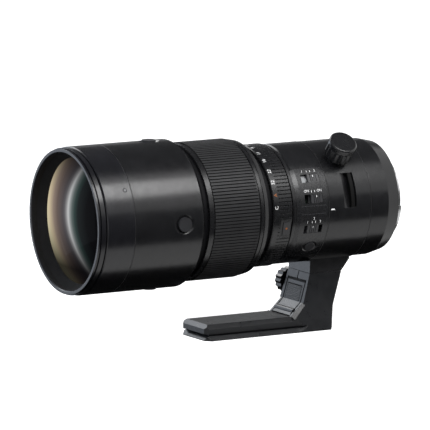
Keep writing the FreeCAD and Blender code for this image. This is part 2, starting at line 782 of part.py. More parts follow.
def switch_panel():
    """The panel barrel, the raised switch plate in its side, the board under it and the switches."""
    blank = turned("panel_barrel_blank", [
        ("index_front", "panel_inner"),
        ("index_front", "panel_radius"),
        ("index_rear", "panel_radius"),
        ("index_rear", "panel_radius - index_depth"),
        ("panel_front", "panel_radius - index_depth"),
        ("panel_front + index_depth", "panel_radius"),
        ("panel_rear", "panel_radius"),
        ("panel_rear", "panel_inner"),
    ])
    opening = sector("panel_opening", "plate_front - fit_gap", "plate_rear + fit_gap", "plate_low_tool",
                     "plate_high_tool", "plate_bottom_angle - plate_gap_angle",
                     "plate_top_angle + plate_gap_angle")
    node("panel_barrel", cut("panel_barrel", blank, opening))
    wedge = sector("switch_plate_wedge", "plate_front", "plate_rear", "panel_inner", "plate_outer",
                   "plate_bottom_angle", "plate_top_angle")
    slope = turned("switch_plate_slope", [
        ("plate_front", "panel_inner - edge_break"),
        ("plate_front", "panel_radius - index_depth"),
        ("plate_front + plate_slope_length", "plate_outer"),
        ("plate_front + plate_slope_length", "plate_high_tool"),
        ("plate_rear", "plate_high_tool"),
        ("plate_rear", "panel_inner - edge_break"),
    ])
    plate = common("switch_plate_blank", wedge, slope)
    holes = []
    for name, angle in {"limit": "limit_angle", "steady": "steady_angle", "preset": "preset_angle"}.items():
        hole = block(f"{name}_slot", "slot_width", "slot_length", "plate_low_tool", "plate_high_tool",
                     middle_y="switch_line")
        holes.append(swing(group(f"{name}_slot_turn", [hole]), angle))
    hole = spun("set_hole", [
        ("0", "plate_low_tool"),
        ("set_radius + fit_gap", "plate_low_tool"),
        ("set_radius + fit_gap", "plate_outer - set_recess_depth"),
        ("set_recess_radius", "plate_high_tool"),
        ("0", "plate_high_tool"),
    ])
    holes.append(bind(swing(hole, "set_angle"), base_y="set_line"))
    node("switch_plate", cut("switch_plate", plate, *holes))
    slider("limit_switch", "limit_angle", "slider_end")
    slider("stabiliser_switch", "steady_angle", "slider_end")
    slider("preset_switch", "preset_angle", "0")
    button = spun("set_button", [
        ("0", "slider_low + set_travel"),
        ("set_radius + slider_flange", "slider_low + set_travel"),
        ("set_radius + slider_flange", "slider_shoulder"),
        ("set_radius", "slider_shoulder"),
        ("set_radius", "plate_outer"),
        ("set_radius - edge_break", "plate_outer + set_proud"),
        ("0", "plate_outer + set_proud"),
    ])
    node("set_button", bind(swing(button, "set_angle"), base_y="set_line"))
    node("switch_board", sector("switch_board", "board_front", "plate_rear", "board_base", "board_top",
                                "plate_bottom_angle", "plate_top_angle"))


def fluted_knob(name, core_outline, radius, low, high):
    """A knob turned from an outline of (radius, height) with a fluted rim between two heights."""
    core = spun(f"{name}_core", core_outline)
    rim_outline = []
    for index in range(2 * FLUTES):
        turn = math.pi * index / FLUTES
        reach = f"({radius})" if index % 2 == 0 else f"({radius} - flute_depth)"
        rim_outline.append((f"{reach} * {math.cos(turn):.9f}", f"{reach} * {math.sin(turn):.9f}"))
    rim = slab(f"{name}_rim", "XY_Plane", rim_outline, f"{high} - ({low})", centred=False)
    bind(rim, base_z=low)
    return fuse(f"{name}_solid", core, rim)


def tripod_collar():
    """The collar with its strap slots, the stub and tongue for the foot, and the lock knob."""
    ring = turned("collar_blank", [
        ("collar_front", "collar_bore"),
        ("collar_front", "collar_radius"),
        ("collar_rear - edge_break", "collar_radius"),
        ("collar_rear", "collar_radius - edge_break"),
        ("collar_rear", "collar_bore"),
    ])
    stub = slab("collar_stub", "YZ_Plane", [
        ("stub_front", "-seam_height + seam_gap"),
        ("-stub_rear", "-seam_height + seam_gap"),
        ("-stub_flare", "-stub_flare_height"),
        ("-stub_flare", "-collar_bore - edge_break"),
        ("stub_front + stub_front_lean", "-collar_bore - edge_break"),
    ], "2 * leg_half_width")
    tongue = slab("collar_tongue", "XZ_Plane", [
        ("-tongue_top_half", "-seam_height + seam_gap"),
        ("tongue_top_half", "-seam_height + seam_gap"),
        ("tongue_base_half", "-tongue_floor"),
        ("-tongue_base_half", "-tongue_floor"),
    ], "tongue_length", centred=False)
    bind(tongue, base_y="tongue_front + tongue_length")
    boss = swing(group("collar_boss_turn", [
        post("collar_boss", "-knob_place", "collar_bore + edge_break", "collar_radius + boss_height",
             "boss_radius")]), "knob_angle")
    bore = drum("collar_bore_tool", "collar_front", "collar_rear", "collar_bore")
    screw_hole = swing(group("collar_screw_turn", [
        post("collar_screw_hole", "-knob_place", "neck_radius", "collar_radius + 2 * boss_height",
             "knob_screw_radius + run_gap")]), "knob_angle")
    recesses = []
    bars = []
    for side, angle in STRAP_SIDES.items():
        recess = slab(f"strap_recess_{side}", "YZ_Plane", [
            ("-strap_front", "collar_radius + edge_break"),
            ("-strap_front", "collar_radius - edge_break"),
            ("-strap_front + strap_ramp", "collar_radius - strap_depth"),
            ("-strap_rear", "collar_radius - strap_depth"),
            ("-strap_rear", "collar_radius + edge_break"),
        ], "strap_length")
        recesses.append(swing(recess, angle))
        bar = block(f"strap_bar_block_{side}", "strap_length - run_gap", "strap_bar_length",
                    "collar_radius - strap_bar_sink - strap_bar_thickness", "collar_radius",
                    middle_y="-strap_rear - strap_bar_setback - strap_bar_length / 2")
        skin = drum(f"strap_bar_skin_{side}", "-strap_front", "-strap_rear",
                    "collar_radius - strap_bar_sink")
        bars.append(swing(common(f"strap_bar_{side}", bar, skin), angle))
    node("strap_bars", group("strap_bars", bars))
    solid = fuse("collar_solid", ring, stub, tongue, boss)
    node("tripod_collar", cut("tripod_collar", solid, bore, screw_hole, *recesses))
    knob = fluted_knob("collar_knob", [
        ("0", "knob_base + knob_neck_height / 2"),
        ("knob_screw_radius + run_gap", "knob_base + knob_neck_height / 2"),
        ("knob_screw_radius + run_gap", "knob_base"),
        ("knob_neck_radius", "knob_base"),
        ("knob_neck_radius", "knob_rim + knob_rim_height"),
        ("knob_radius - flute_depth", "knob_rim + knob_rim_height"),
        ("knob_top_radius", "knob_rim + knob_height"),
        ("0", "knob_rim + knob_height"),
    ], "knob_radius", "knob_rim", "knob_rim + knob_rim_height")
    node("collar_knob", bind(swing(group("collar_knob_turn", [knob]), "knob_angle"), base_y="-knob_place"))
    stud = post("knob_stud_post", "-knob_place", "collar_bore + fit_gap",
                "knob_base + knob_neck_height / 2", "knob_screw_radius")
    node("collar_knob_stud", swing(group("collar_knob_stud", [stud]), "knob_angle"))


def foot():
    """The foot: a leg that narrows upward, a long plate and a dovetail rail with run-out ends."""
    side = slab("leg_side", "YZ_Plane", [
        ("stub_front", "-seam_height"),
        ("-leg_bend_place", "-leg_bend_height"),
        ("-leg_toe_place", "-foot_top_height"),
        ("-leg_toe_place", "-leg_base_height"),
        ("-foot_rear", "-leg_base_height"),
        ("-leg_kink_place", "-leg_kink_height"),
        ("-stub_rear", "-seam_height"),
    ], "2 * rail_half_width")
    front = slab("leg_front", "XZ_Plane", [
        ("-leg_half_width", "-seam_height"),
        ("leg_half_width", "-seam_height"),
        ("plate_half_width", "-leg_base_height"),
        ("-plate_half_width", "-leg_base_height"),
    ], "foot_front", centred=False)
    leg = common("leg", side, front)
    section = slab("base_section", "XZ_Plane", [
        ("-leg_half_width", "-foot_top_height"),
        ("leg_half_width", "-foot_top_height"),
        ("plate_half_width", "-leg_base_height"),
        ("rail_half_width", "-rail_top_height"),
        ("rail_half_width", "-foot_base_height"),
        ("-rail_half_width", "-foot_base_height"),
        ("-rail_half_width", "-rail_top_height"),
        ("-plate_half_width", "-leg_base_height"),
    ], "foot_front", centred=False)
    plan = slab("base_plan", "XY_Plane", [
        ("-rail_half_width + corner_cut", "-foot_front"),
        ("rail_half_width - corner_cut", "-foot_front"),
        ("rail_half_width", "-foot_front + corner_cut"),
        ("rail_half_width", "-foot_rear - rail_half_width + plate_half_width"),
        ("plate_half_width", "-foot_rear"),
        ("-plate_half_width", "-foot_rear"),
        ("-rail_half_width", "-foot_rear - rail_half_width + plate_half_width"),
        ("-rail_half_width", "-foot_front + corner_cut"),
    ], "2 * foot_base_height")
    base = common("foot_base", section, plan)
    nose = slab("nose_bevel", "YZ_Plane", [
        ("-foot_front - edge_break", "-foot_top_height + edge_break"),
        ("-foot_front + plate_bevel + edge_break", "-foot_top_height + edge_break"),
        ("-foot_front - edge_break", "-foot_top_height - plate_bevel - edge_break"),
    ], "3 * rail_half_width")
    nose_groove = slab("nose_groove", "YZ_Plane", [
        ("-foot_front - edge_break", "-groove_top_height"),
        ("-foot_front + rail_slope", "-groove_top_height"),
        ("-foot_front + rail_slope", "-groove_top_height - rail_groove"),
        ("-foot_front", "-rail_top_height"),
        ("-foot_front - edge_break", "-rail_top_height"),
    ], "3 * rail_half_width")
    heel = slab("heel_cut_tool", "YZ_Plane", [
        ("-foot_rear + edge_break", "-foot_base_height - edge_break"),
        ("-foot_rear - heel_cut - edge_break", "-foot_base_height - edge_break"),
        ("-foot_rear + edge_break", "-foot_base_height + heel_cut + edge_break"),
    ], "3 * rail_half_width")
    tools = [nose, nose_groove, heel]
    for sign, side_name in ((1, "right"), (-1, "left")):
        bevel = slab(f"toe_bevel_{side_name}", "XZ_Plane", [
            (f"{sign} * (leg_half_width - edge_break / toe_bevel_slope)", "-edge_break"),
            (f"{sign} * rail_half_width", "-edge_break"),
            (f"{sign} * rail_half_width", "(rail_half_width - leg_half_width) * toe_bevel_slope"),
        ], "sqrt(toe_run^2 + toe_drop^2)", centred=False)
        bevel.Placement = FreeCAD.Placement(ORIGIN, FreeCAD.Rotation(AXIS_X, 1))
        bind(bevel, base_y="-leg_toe_place", base_z="-foot_top_height")
        bind(bevel, **{"Placement.Rotation.Angle": "180 deg + atan(toe_drop / toe_run)"})
        tools.append(bevel)
        tools.append(slab(f"rail_groove_{side_name}", "XZ_Plane", [
            (f"{sign} * plate_half_width", "-leg_base_height"),
            (f"{sign} * plate_half_width", "-groove_top_height"),
            (f"{sign} * groove_half", "-groove_top_height"),
            (f"{sign} * groove_half", "-groove_top_height - rail_groove"),
            (f"{sign} * rail_half_width", "-rail_top_height"),
            (f"{sign} * (rail_half_width + corner_cut)", "-rail_top_height"),
            (f"{sign} * (rail_half_width + corner_cut)", "-leg_base_height"),
        ], "foot_front - rail_runout + edge_break", centred=False))
        bind(tools[-1], base_y="-rail_runout")
        wheel = spun(f"runout_{side_name}", [
            ("0", "-leg_base_height"),
            ("runout_radius + groove_half - plate_half_width", "-leg_base_height"),
            ("runout_radius + groove_half - plate_half_width", "-groove_top_height"),
            ("runout_radius", "-groove_top_height"),
            ("runout_radius", "-groove_top_height - rail_groove"),
            ("runout_radius - rail_slope", "-rail_top_height"),
            ("0", "-rail_top_height"),
        ])
        bind(wheel, base_x=f"{sign} * (groove_half + runout_radius)", base_y="-rail_runout")
        tools.append(wheel)
    channel = slab("clamp_channel", "XZ_Plane", [
        ("-tongue_top_half - fit_gap", "-seam_height + edge_break"),
        ("tongue_top_half + fit_gap", "-seam_height + edge_break"),
        ("tongue_base_half + 2 * fit_gap", "-tongue_floor - fit_gap"),
        ("-tongue_base_half - 2 * fit_gap", "-tongue_floor - fit_gap"),
    ], "tongue_length + tongue_setback", centred=False)
    bind(channel, base_y="tongue_front + tongue_length + tongue_setback - fit_gap")
    slit = block("jaw_slit_tool", "jaw_slit", "2 * tongue_length", "-seam_height - jaw_slit_depth",
                 "-seam_height + edge_break", middle_y="(stub_front - stub_rear) / 2")
    screw_hole = crossbar("clamp_hole", "-rail_half_width", "clamp_screw_end + fit_gap",
                          "clamp_screw_radius + run_gap", "-clamp_place", "-clamp_height")
    pocket = slab("latch_pocket", "YZ_Plane", [
        ("-leg_toe_place", "-latch_top_height + latch_gap"),
        ("latch_top_face + latch_pocket_depth", "-latch_top_height + latch_gap"),
        ("-leg_bend_place + latch_pocket_depth", "-leg_bend_height"),
        ("-leg_toe_place + latch_pocket_depth", "-foot_top_height"),
        ("-leg_toe_place", "-foot_top_height"),
    ], "2 * (latch_half_width + latch_gap)")
    knuckle_room = crossbar("knuckle_room", "-latch_half_width - latch_gap", "latch_half_width + latch_gap",
                            "latch_knuckle + latch_gap", "latch_pivot_place", "latch_pivot_height")
    pin_hole = crossbar("latch_pin_hole", "-latch_pin_half - fit_gap", "latch_pin_half + fit_gap",
                        "latch_pin_radius + run_gap", "latch_pivot_place", "latch_pivot_height")
    tools += [channel, slit, screw_hole, pocket, knuckle_room, pin_hole]
    for name, thread_place, radius in (
        ("small", "small_thread_place", "small_thread_radius"),
        ("large", "large_thread_place", "large_thread_radius"),
    ):
        tools.append(post(f"{name}_thread", f"-{thread_place}", "-foot_base_height",
                          "-foot_base_height + thread_depth", radius))
    node("foot", cut("foot", fuse("foot_solid", leg, base), *tools))


def foot_fittings():
    """The clamp screw and knob on the foot's side and the release latch in its front."""
    knob = fluted_knob("clamp_knob", [
        ("0", "clamp_stand"),
        ("clamp_screw_radius + run_gap", "clamp_stand"),
        ("clamp_screw_radius + run_gap", "0"),
        ("clamp_stand_radius", "0"),
        ("clamp_stand_radius", "clamp_length - edge_break"),
        ("clamp_radius - flute_depth", "clamp_length - edge_break"),
        ("clamp_radius - flute_depth - edge_break", "clamp_length"),
        ("0", "clamp_length"),
    ], "clamp_radius", "clamp_stand", "clamp_length - edge_break")
    turned_knob = group("clamp_knob_turn", [knob])
    turned_knob.Placement = FreeCAD.Placement(ORIGIN, FreeCAD.Rotation(AXIS_Y, -90))
    bind(turned_knob, base_x="-clamp_seat", base_y="-clamp_place", base_z="-clamp_height")
    node("clamp_knob", turned_knob)
    node("clamp_screw", crossbar("clamp_screw", "-clamp_seat - clamp_stand", "clamp_screw_end",
                                 "clamp_screw_radius", "-clamp_place", "-clamp_height"))
    panel = slab("latch_panel", "YZ_Plane", [
        ("latch_top_face", "-latch_top_height"),
        ("-leg_bend_place", "-leg_bend_height"),
        ("-leg_toe_place + latch_gap", "-foot_top_height + latch_gap"),
        ("-leg_toe_place + latch_gap + latch_thickness", "-foot_top_height + latch_gap"),
        ("-leg_bend_place + latch_thickness", "-leg_bend_height"),
        ("latch_top_face + latch_thickness", "-latch_top_height"),
    ], "2 * latch_half_width")
    knuckle = crossbar("latch_knuckle", "-latch_half_width", "latch_half_width",
                       "latch_knuckle", "latch_pivot_place", "latch_pivot_height")
    ribs = []
    for index in range(LATCH_RIBS):
        drop = f"(latch_rib_drop + {index} * latch_rib_pitch)"
        rib = block(f"latch_rib_{index + 1}", "2 * latch_rib_half", "latch_rib_height + edge_break",
                    f"-seam_height - {drop} - latch_rib_pitch / 2", f"-seam_height - {drop}",
                    middle_y=f"stub_front - {drop} * face_slope")
        ribs.append(rib)
    bore = crossbar("latch_bore", "-latch_pin_half", "latch_pin_half", "latch_pin_radius + run_gap",
                    "latch_pivot_place", "latch_pivot_height")
    node("release_latch", cut("release_latch", fuse("latch_solid", panel, knuckle, *ribs), bore))
    node("latch_pin", crossbar("latch_pin", "-latch_pin_half", "latch_pin_half", "latch_pin_radius",
                               "latch_pivot_place", "latch_pivot_height"))


def rear_barrel():
    """The rear barrel, the bayonet flange with its contacts, and the rear baffle."""
    node("rear_barrel", turned("rear_barrel", [
        ("rear_seam", "flange_radius + fit_gap"),
        ("rear_seam", "rear_radius"),
        ("rear_cone", "rear_radius"),
        ("rear_end", "rear_rim_radius"),
        ("rear_end", "flange_radius + fit_gap"),
    ]))
    flange = turned("flange_blank", [
        ("flange_rear", "throat_radius"),
        ("flange_rear", "flange_radius"),
        ("0", "flange_radius"),
        ("0", "bayonet_radius"),
        ("bayonet_length", "bayonet_radius"),
        ("bayonet_length", "throat_radius"),
    ])
    claws = []
    for index in range(CLAWS):
        middle = 360 * index / CLAWS + 90
        claws.append(sector(f"claw_{index + 1}", "bayonet_length - claw_thickness", "bayonet_length",
                            "throat_radius + edge_break", "claw_radius",
                            f"{middle} - claw_angle / 2", f"{middle} + claw_angle / 2"))
    node("mount_flange", fuse("mount_flange", flange, *claws))
    node("contact_block", sector("contact_block", "-contact_length / 3", "2 * contact_length / 3",
                                 "throat_radius - contact_thickness", "throat_radius - run_gap",
                                 "270 - contact_angle / 2", "270 + contact_angle / 2"))
    pads = []
    for index in range(CONTACTS):
        share = (index + 0.5) / CONTACTS - 0.5
        pad = block(f"contact_pad_{index + 1}", "contact_pad_width", "contact_pad_height",
                    "throat_radius - contact_thickness + edge_break", "throat_radius - edge_break",
                    middle_y="2 * contact_length / 3 + contact_pad_height / 2")
        pads.append(swing(group(f"contact_pad_turn_{index + 1}", [pad]), f"270 + ({share}) * contact_angle"))
    node("contact_pads", group("contact_pads", pads))
    disc = drum("baffle_disc", "flange_rear", "flange_rear + baffle_thickness", "throat_radius - run_gap")
    gate = block("baffle_gate", "2 * baffle_half_width", "4 * baffle_thickness",
                 "-baffle_half_height", "baffle_half_height", middle_y="flange_rear")
    node("rear_baffle", cut("rear_baffle", disc, gate))


def inner_groups():
    """The moving and fixed lens groups inside the tube, with what guides and drives them."""
    node("rear_cell", turned("rear_cell", [
        ("-rear_cell_place - rear_cell_length", "rear_glass_radius + fit_gap"),
        ("-rear_cell_place - rear_cell_length", "cell_plate_radius"),
        ("-rear_cell_place", "cell_plate_radius"),
        ("-rear_cell_place", "rear_glass_radius + fit_gap"),
    ]))
    node("rear_element", drum("rear_element", "-rear_cell_place - rear_glass_length", "-rear_cell_place",
                              "rear_glass_radius"))
    blank = drum("stabiliser_blank", "steady_front", "steady_rear", "cell_plate_radius")
    pocket = block("stabiliser_pocket", "2 * steady_half", "2 * (steady_length - steady_plate)",
                   "-steady_half", "steady_half", middle_y="steady_front")
    window = block("stabiliser_window", "2 * window_half", "3 * steady_plate", "-window_half",
                   "window_half", middle_y="steady_rear")
    node("stabiliser_housing", cut("stabiliser_housing", blank, pocket, window))
    frame_middle = "(frame_rear + frame_front) / 2"
    frame = block("stabiliser_frame_block", "2 * frame_half", "steady_frame_length",
                  "-steady_half + run_gap", "steady_half - run_gap", middle_y=frame_middle)
    room = block("stabiliser_frame_room", "2 * window_half", "2 * steady_frame_length", "-window_half",
                 "window_half", middle_y=frame_middle)
    node("stabiliser_frame", cut("stabiliser_frame", frame, room))
    cell = block("stabiliser_cell_block", "2 * steady_cell_half", "steady_frame_length",
                 "-steady_cell_half + steady_play", "steady_cell_half - steady_play",
                 middle_y=frame_middle)
    hole = drum("stabiliser_cell_hole", "frame_front", "frame_rear", "steady_glass_radius + fit_gap")
    node("stabiliser_cell", cut("stabiliser_cell", cell, hole))
    node("stabiliser_lens", drum("stabiliser_lens", "frame_front", "frame_rear", "steady_glass_radius"))
    focus_middle = "(focus_rear_face + focus_front_face) / 2"
    plate = block("carriage_plate", "2 * carriage_half", "focus_length", "-carriage_half",
                  "carriage_half", middle_y=focus_middle)
    arms = block("carriage_arms", "2 * (rod_circle + 2 * rod_radius)", "focus_length",
                 "-carriage_arm_half", "carriage_arm_half", middle_y=focus_middle)
    tools = [drum("carriage_hole", "focus_front_face", "focus_rear_face", "focus_glass_radius + fit_gap")]
    rods = []
    for sign, side in ((1, "right"), (-1, "left")):
        across = f"{sign} * rod_circle"
        tools.append(rod(f"rod_bore_{side}", "focus_front_face", "focus_rear_face",
                         "rod_radius + run_gap", across, "0"))
        rods.append(rod(f"rod_{side}", "iris_rear", "steady_front", "rod_radius", across, "0"))
    node("focus_carriage", cut("focus_carriage", fuse("carriage_solid", plate, arms), *tools))
    node("guide_rods", group("guide_rods", rods))
    node("focus_lens", drum("focus_lens", "focus_front_face", "focus_rear_face", "focus_glass_radius"))
    node("focus_motor", block("focus_motor", "motor_width", "motor_length", "motor_low",
                              "motor_low + motor_height", middle_y=focus_middle))
    node("iris_housing", turned("iris_housing", [
        ("iris_rear - iris_length", "iris_opening"),
        ("iris_rear - iris_length", "iris_outer"),
        ("iris_rear", "iris_outer"),
        ("iris_rear", "iris_opening"),
    ]))


def check_and_write():
    """Stop on any failed object or bad shape, then write one file for each sub-part."""
    doc.recompute()
    for thing in doc.Objects:
        if "Invalid" in thing.State or "Error" in thing.State:
            raise RuntimeError(f"{thing.Name} failed: {thing.State}")
    os.makedirs("parts", exist_ok=True)
    for thing in nodes:
        shape = thing.Shape
        if shape.isNull() or not shape.isValid() or not shape.Solids:
            raise RuntimeError(f"{thing.Label} has no valid solid")
        shape.exportStep(f"parts/{thing.Label}.step")
        print(thing.Label, len(shape.Solids), round(shape.Volume / 1000, 2))


HOLD_SIDES = {"right": "0", "top": "90", "left": "180", "bottom": "270"}
STRAP_SIDES = {"right": "strap_angle", "left": "180 - strap_angle"}
CLAWS = 3
CONTACTS = int(SIZES["contact_pads"])
FLUTES = int(SIZES["knob_flutes"])
LATCH_RIBS = int(SIZES["latch_rib_count"])
SLIDER_NOTCHES = 4

front_group()
main_tube()
front_barrel()
focus_ring()
aperture_ring()
switch_panel()
tripod_collar()
foot()
foot_fittings()
rear_barrel()
inner_groups()
check_and_write()
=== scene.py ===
"""Looks of the telephoto lens: materials, marks, small trim and screws, camera and soft light."""

import json
import math

import bmesh
import bpy
from mathutils import Matrix, Vector


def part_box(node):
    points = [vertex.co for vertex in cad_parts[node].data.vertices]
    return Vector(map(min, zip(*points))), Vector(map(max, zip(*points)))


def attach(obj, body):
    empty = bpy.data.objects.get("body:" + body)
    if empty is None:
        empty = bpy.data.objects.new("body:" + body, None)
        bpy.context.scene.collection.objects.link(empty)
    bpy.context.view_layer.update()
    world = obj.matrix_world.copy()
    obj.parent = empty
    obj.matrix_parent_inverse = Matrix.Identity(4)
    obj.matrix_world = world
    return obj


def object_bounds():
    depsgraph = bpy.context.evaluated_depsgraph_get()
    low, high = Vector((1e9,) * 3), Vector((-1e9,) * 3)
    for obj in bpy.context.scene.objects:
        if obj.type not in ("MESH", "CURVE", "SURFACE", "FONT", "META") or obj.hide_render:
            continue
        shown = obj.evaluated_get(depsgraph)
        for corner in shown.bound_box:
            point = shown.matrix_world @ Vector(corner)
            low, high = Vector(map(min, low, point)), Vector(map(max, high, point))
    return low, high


MM = 0.001

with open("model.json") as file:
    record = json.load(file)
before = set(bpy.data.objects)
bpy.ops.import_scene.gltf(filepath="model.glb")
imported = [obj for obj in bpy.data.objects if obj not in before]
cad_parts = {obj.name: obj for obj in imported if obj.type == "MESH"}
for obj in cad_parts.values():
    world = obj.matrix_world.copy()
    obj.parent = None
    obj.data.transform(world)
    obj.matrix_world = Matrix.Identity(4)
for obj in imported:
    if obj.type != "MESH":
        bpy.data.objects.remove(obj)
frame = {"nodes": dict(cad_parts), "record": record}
cad_low, cad_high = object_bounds()

# Angles round the lens are counted in degrees from +X towards +Z, as in the part's source.
NUMBERS = {"C": 5.8, "32": 30.0, "22": 41.7, "16": 54.5, "11": 66.3, "8": 78.4, "5.6": 89.5}
AUTO_ANGLE = 17.6
LOCK_ANGLE = -15.0
LIMIT_ANGLE = 31.5
STEADY_ANGLE = 11.5
PRESET_ANGLE = -18.0
DIVIDER_ANGLES = {"upper": 4.7, "lower": -3.0}
SET_SCREW_ANGLE = 30.5
FIRST_FLANGE_ANGLE = 30.0
FLANGE_SCREWS = 6

# Marks stand proud of their surface by the lift and reach into it by the sink.
# A rise or span is in degrees round the lens, and a reach or half is a length along it.
LIFT = 0.03 * MM
SINK = 0.05 * MM
DIAL_HEIGHT = 2.55 * MM
LABEL_HEIGHT = 1.75 * MM
LABEL_RISE = 7.4
MIDDLE_LABEL_RISE = 10.6
LABEL_REACH = 5.1 * MM
TICK_REACH = 1.3 * MM
TICK_HALF = 0.16 * MM
TICK_SPAN = (-1.3, 0.8)
POINTER_HALF = 0.22 * MM
POINTER_SPAN = (1.3, 3.5)
DIVIDER_SPAN = (-0.12, 0.12)
FIELD_SPAN = (-4.3, 4.3)
FIELD_DEPTH = 2.7 * MM
DASH_SPAN = (-1.0, 0.3)
SEAM_WIDTH = 0.3 * MM

# The thread is inside the limit's radius in the front ring.
THREAD_LIMIT = 47.8 * MM
THREAD_PITCH = 0.75 * MM
GROOVE_DEPTH = 0.12 * MM

# The cap's outline: distance from the knob's axis and height above the knob's foot, in millimetres.
CAP_OUTLINE = [(0.0, 14.1), (8.9, 14.1), (9.3, 13.95), (9.95, 13.2), (9.95, 11.4), (9.3, 10.75), (8.0, 10.7)]

# The latch's front face, in metres along the lens and up.
LATCH_TOP_PLACE = -60.36 * MM
LATCH_BEND_PLACE = -64.7 * MM
LATCH_BEND_HEIGHT = -69.6 * MM
LATCH_GAP = 0.9 * MM
RECESS_OUTER = 10.2 * MM
RECESS_INNER = 9.3 * MM

# The share of a font's size that a capital letter takes, and the part of a noise value that varies.
CAPITAL_SHARE = 0.7
NOISE_MIDDLE = (0.3, 0.7)

CAMERA_PLACE = (3.7350, -2.2654, 0.6762)
CAMERA_RIGHT = Vector((0.4967, 0.8679, 0.0011))
CAMERA_DOWN = Vector((0.1361, -0.0767, -0.9877))
CAMERA_AHEAD = Vector((-0.8572, 0.4908, -0.1562))
CAMERA_LENS = 523.8
CAMERA_SENSOR = 36.0
CAMERA_CLIP = 50.0

# The studio round the lens. Its dim walls glow between the low and the high value.
FLOOR_REACH = 6.0
TUNNEL_RADIUS = 1.3
TUNNEL_LENGTH = 3.6
TUNNEL_MIDDLE = -0.6
WHITE = (1.0, 1.0, 1.0)
SKY = (0.95, 0.98, 1.0)
DIM_LOW = 0.01
DIM_HIGH = 0.075

ring_low, ring_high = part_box("aperture_ring")
plate_low, plate_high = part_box("switch_plate")
collar_low, collar_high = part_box("tripod_collar")
front_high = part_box("front_ring")[1]
barrel_radius = front_high.x
ring_radius = ring_high.z
plate_radius = plate_high.x
collar_radius = collar_high.x
flange_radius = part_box("mount_flange")[1].x
grip_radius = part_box("focus_grip")[1].x
glass_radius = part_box("front_element")[1].x
floor_height = cad_low.z


def scaled(color, share):
    """A colour times a share."""
    return tuple(channel * share for channel in color)


def shader(name, color, roughness, metallic=0.0, specular=0.5):
    """A new node material with its Principled shader."""
    material = bpy.data.materials.new(name)
    material.use_nodes = True
    principled = material.node_tree.nodes["Principled BSDF"]
    principled.inputs["Base Color"].default_value = (*color, 1.0)
    principled.inputs["Roughness"].default_value = roughness
    principled.inputs["Metallic"].default_value = metallic
    principled.inputs["Specular IOR Level"].default_value = specular
    return material, principled


def coordinates(material):
    """The mesh's own coordinates in metres."""
    return material.node_tree.nodes.new("ShaderNodeTexCoord").outputs["Object"]


def noise(material, scale, detail=4.0, stretch=None):
    """A noise value from 0 to 1 at a scale in features per metre."""
    tree = material.node_tree
    texture = tree.nodes.new("ShaderNodeTexNoise")
    texture.inputs["Scale"].default_value = scale
    texture.inputs["Detail"].default_value = detail
    place = coordinates(material)
    if stretch:
        mapping = tree.nodes.new("ShaderNodeMapping")
        mapping.inputs["Scale"].default_value = stretch
        tree.links.new(place, mapping.inputs["Vector"])
        place = mapping.outputs["Vector"]
    tree.links.new(place, texture.inputs["Vector"])
    return texture.outputs["Fac"]


def calculated(material, operation, *values):
    """A sum, product or other calculation on sockets and numbers."""
    node = material.node_tree.nodes.new("ShaderNodeMath")
    node.operation = operation
    for socket, value in zip(node.inputs, values):
        if isinstance(value, (int, float)):
            socket.default_value = value
        else:
            material.node_tree.links.new(value, socket)
    return node.outputs["Value"]


def ranged(material, value, before, after=(0.0, 1.0)):
    """Move a value from one range to another and stop at its ends."""
    node = material.node_tree.nodes.new("ShaderNodeMapRange")
    node.inputs["From Min"].default_value = before[0]
    node.inputs["From Max"].default_value = before[1]
    node.inputs["To Min"].default_value = after[0]
    node.inputs["To Max"].default_value = after[1]
    material.node_tree.links.new(value, node.inputs["Value"])
    return node.outputs["Result"]


def color_ramp(material, value, stops):
    """Colours along a value from 0 to 1."""
    tree = material.node_tree
    ramp = tree.nodes.new("ShaderNodeValToRGB")
    stops = list(stops)
    while len(ramp.color_ramp.elements) < len(stops):
        ramp.color_ramp.elements.new(1.0)
    for element, (position, color) in zip(ramp.color_ramp.elements, stops):
        element.position = position
        element.color = (*color, 1.0)
    tree.links.new(value, ramp.inputs["Fac"])
    return ramp.outputs["Color"]


def tint(material, principled, value, dark, light):
    """Let the base colour wander between two colours."""
    color = color_ramp(material, value, zip(NOISE_MIDDLE, (dark, light)))
    material.node_tree.links.new(color, principled.inputs["Base Color"])


def cloud(material, principled, value, low, high):
    """Let the roughness wander between two values."""
    gloss = ranged(material, value, NOISE_MIDDLE, (low, high))
    material.node_tree.links.new(gloss, principled.inputs["Roughness"])


def soft_edges(material, radius):
    """Normals that round the sharp edges a little, as machined edges are broken."""
    node = material.node_tree.nodes.new("ShaderNodeBevel")
    node.samples = 4
    node.inputs["Radius"].default_value = radius
    return node.outputs["Normal"]


def bump(material, principled, value, strength, depth, before=None):
    """Raise the surface by a value, on top of other normals if they are given."""
    tree = material.node_tree
    node = tree.nodes.new("ShaderNodeBump")
    node.inputs["Strength"].default_value = strength
    node.inputs["Distance"].default_value = depth
    tree.links.new(value, node.inputs["Height"])
    if before:
        tree.links.new(before, node.inputs["Normal"])
    tree.links.new(node.outputs["Normal"], principled.inputs["Normal"])


def places(material):
    """The X, Y and Z of the mesh's own coordinates."""
    split = material.node_tree.nodes.new("ShaderNodeSeparateXYZ")
    material.node_tree.links.new(coordinates(material), split.inputs["Vector"])
    return split.outputs


def axis_distance(material):
    """The distance from the lens axis."""
    place = places(material)
    across = calculated(material, "MULTIPLY", place["X"], place["X"])
    square = calculated(material, "MULTIPLY_ADD", place["Z"], place["Z"], across)
    return calculated(material, "SQRT", square)


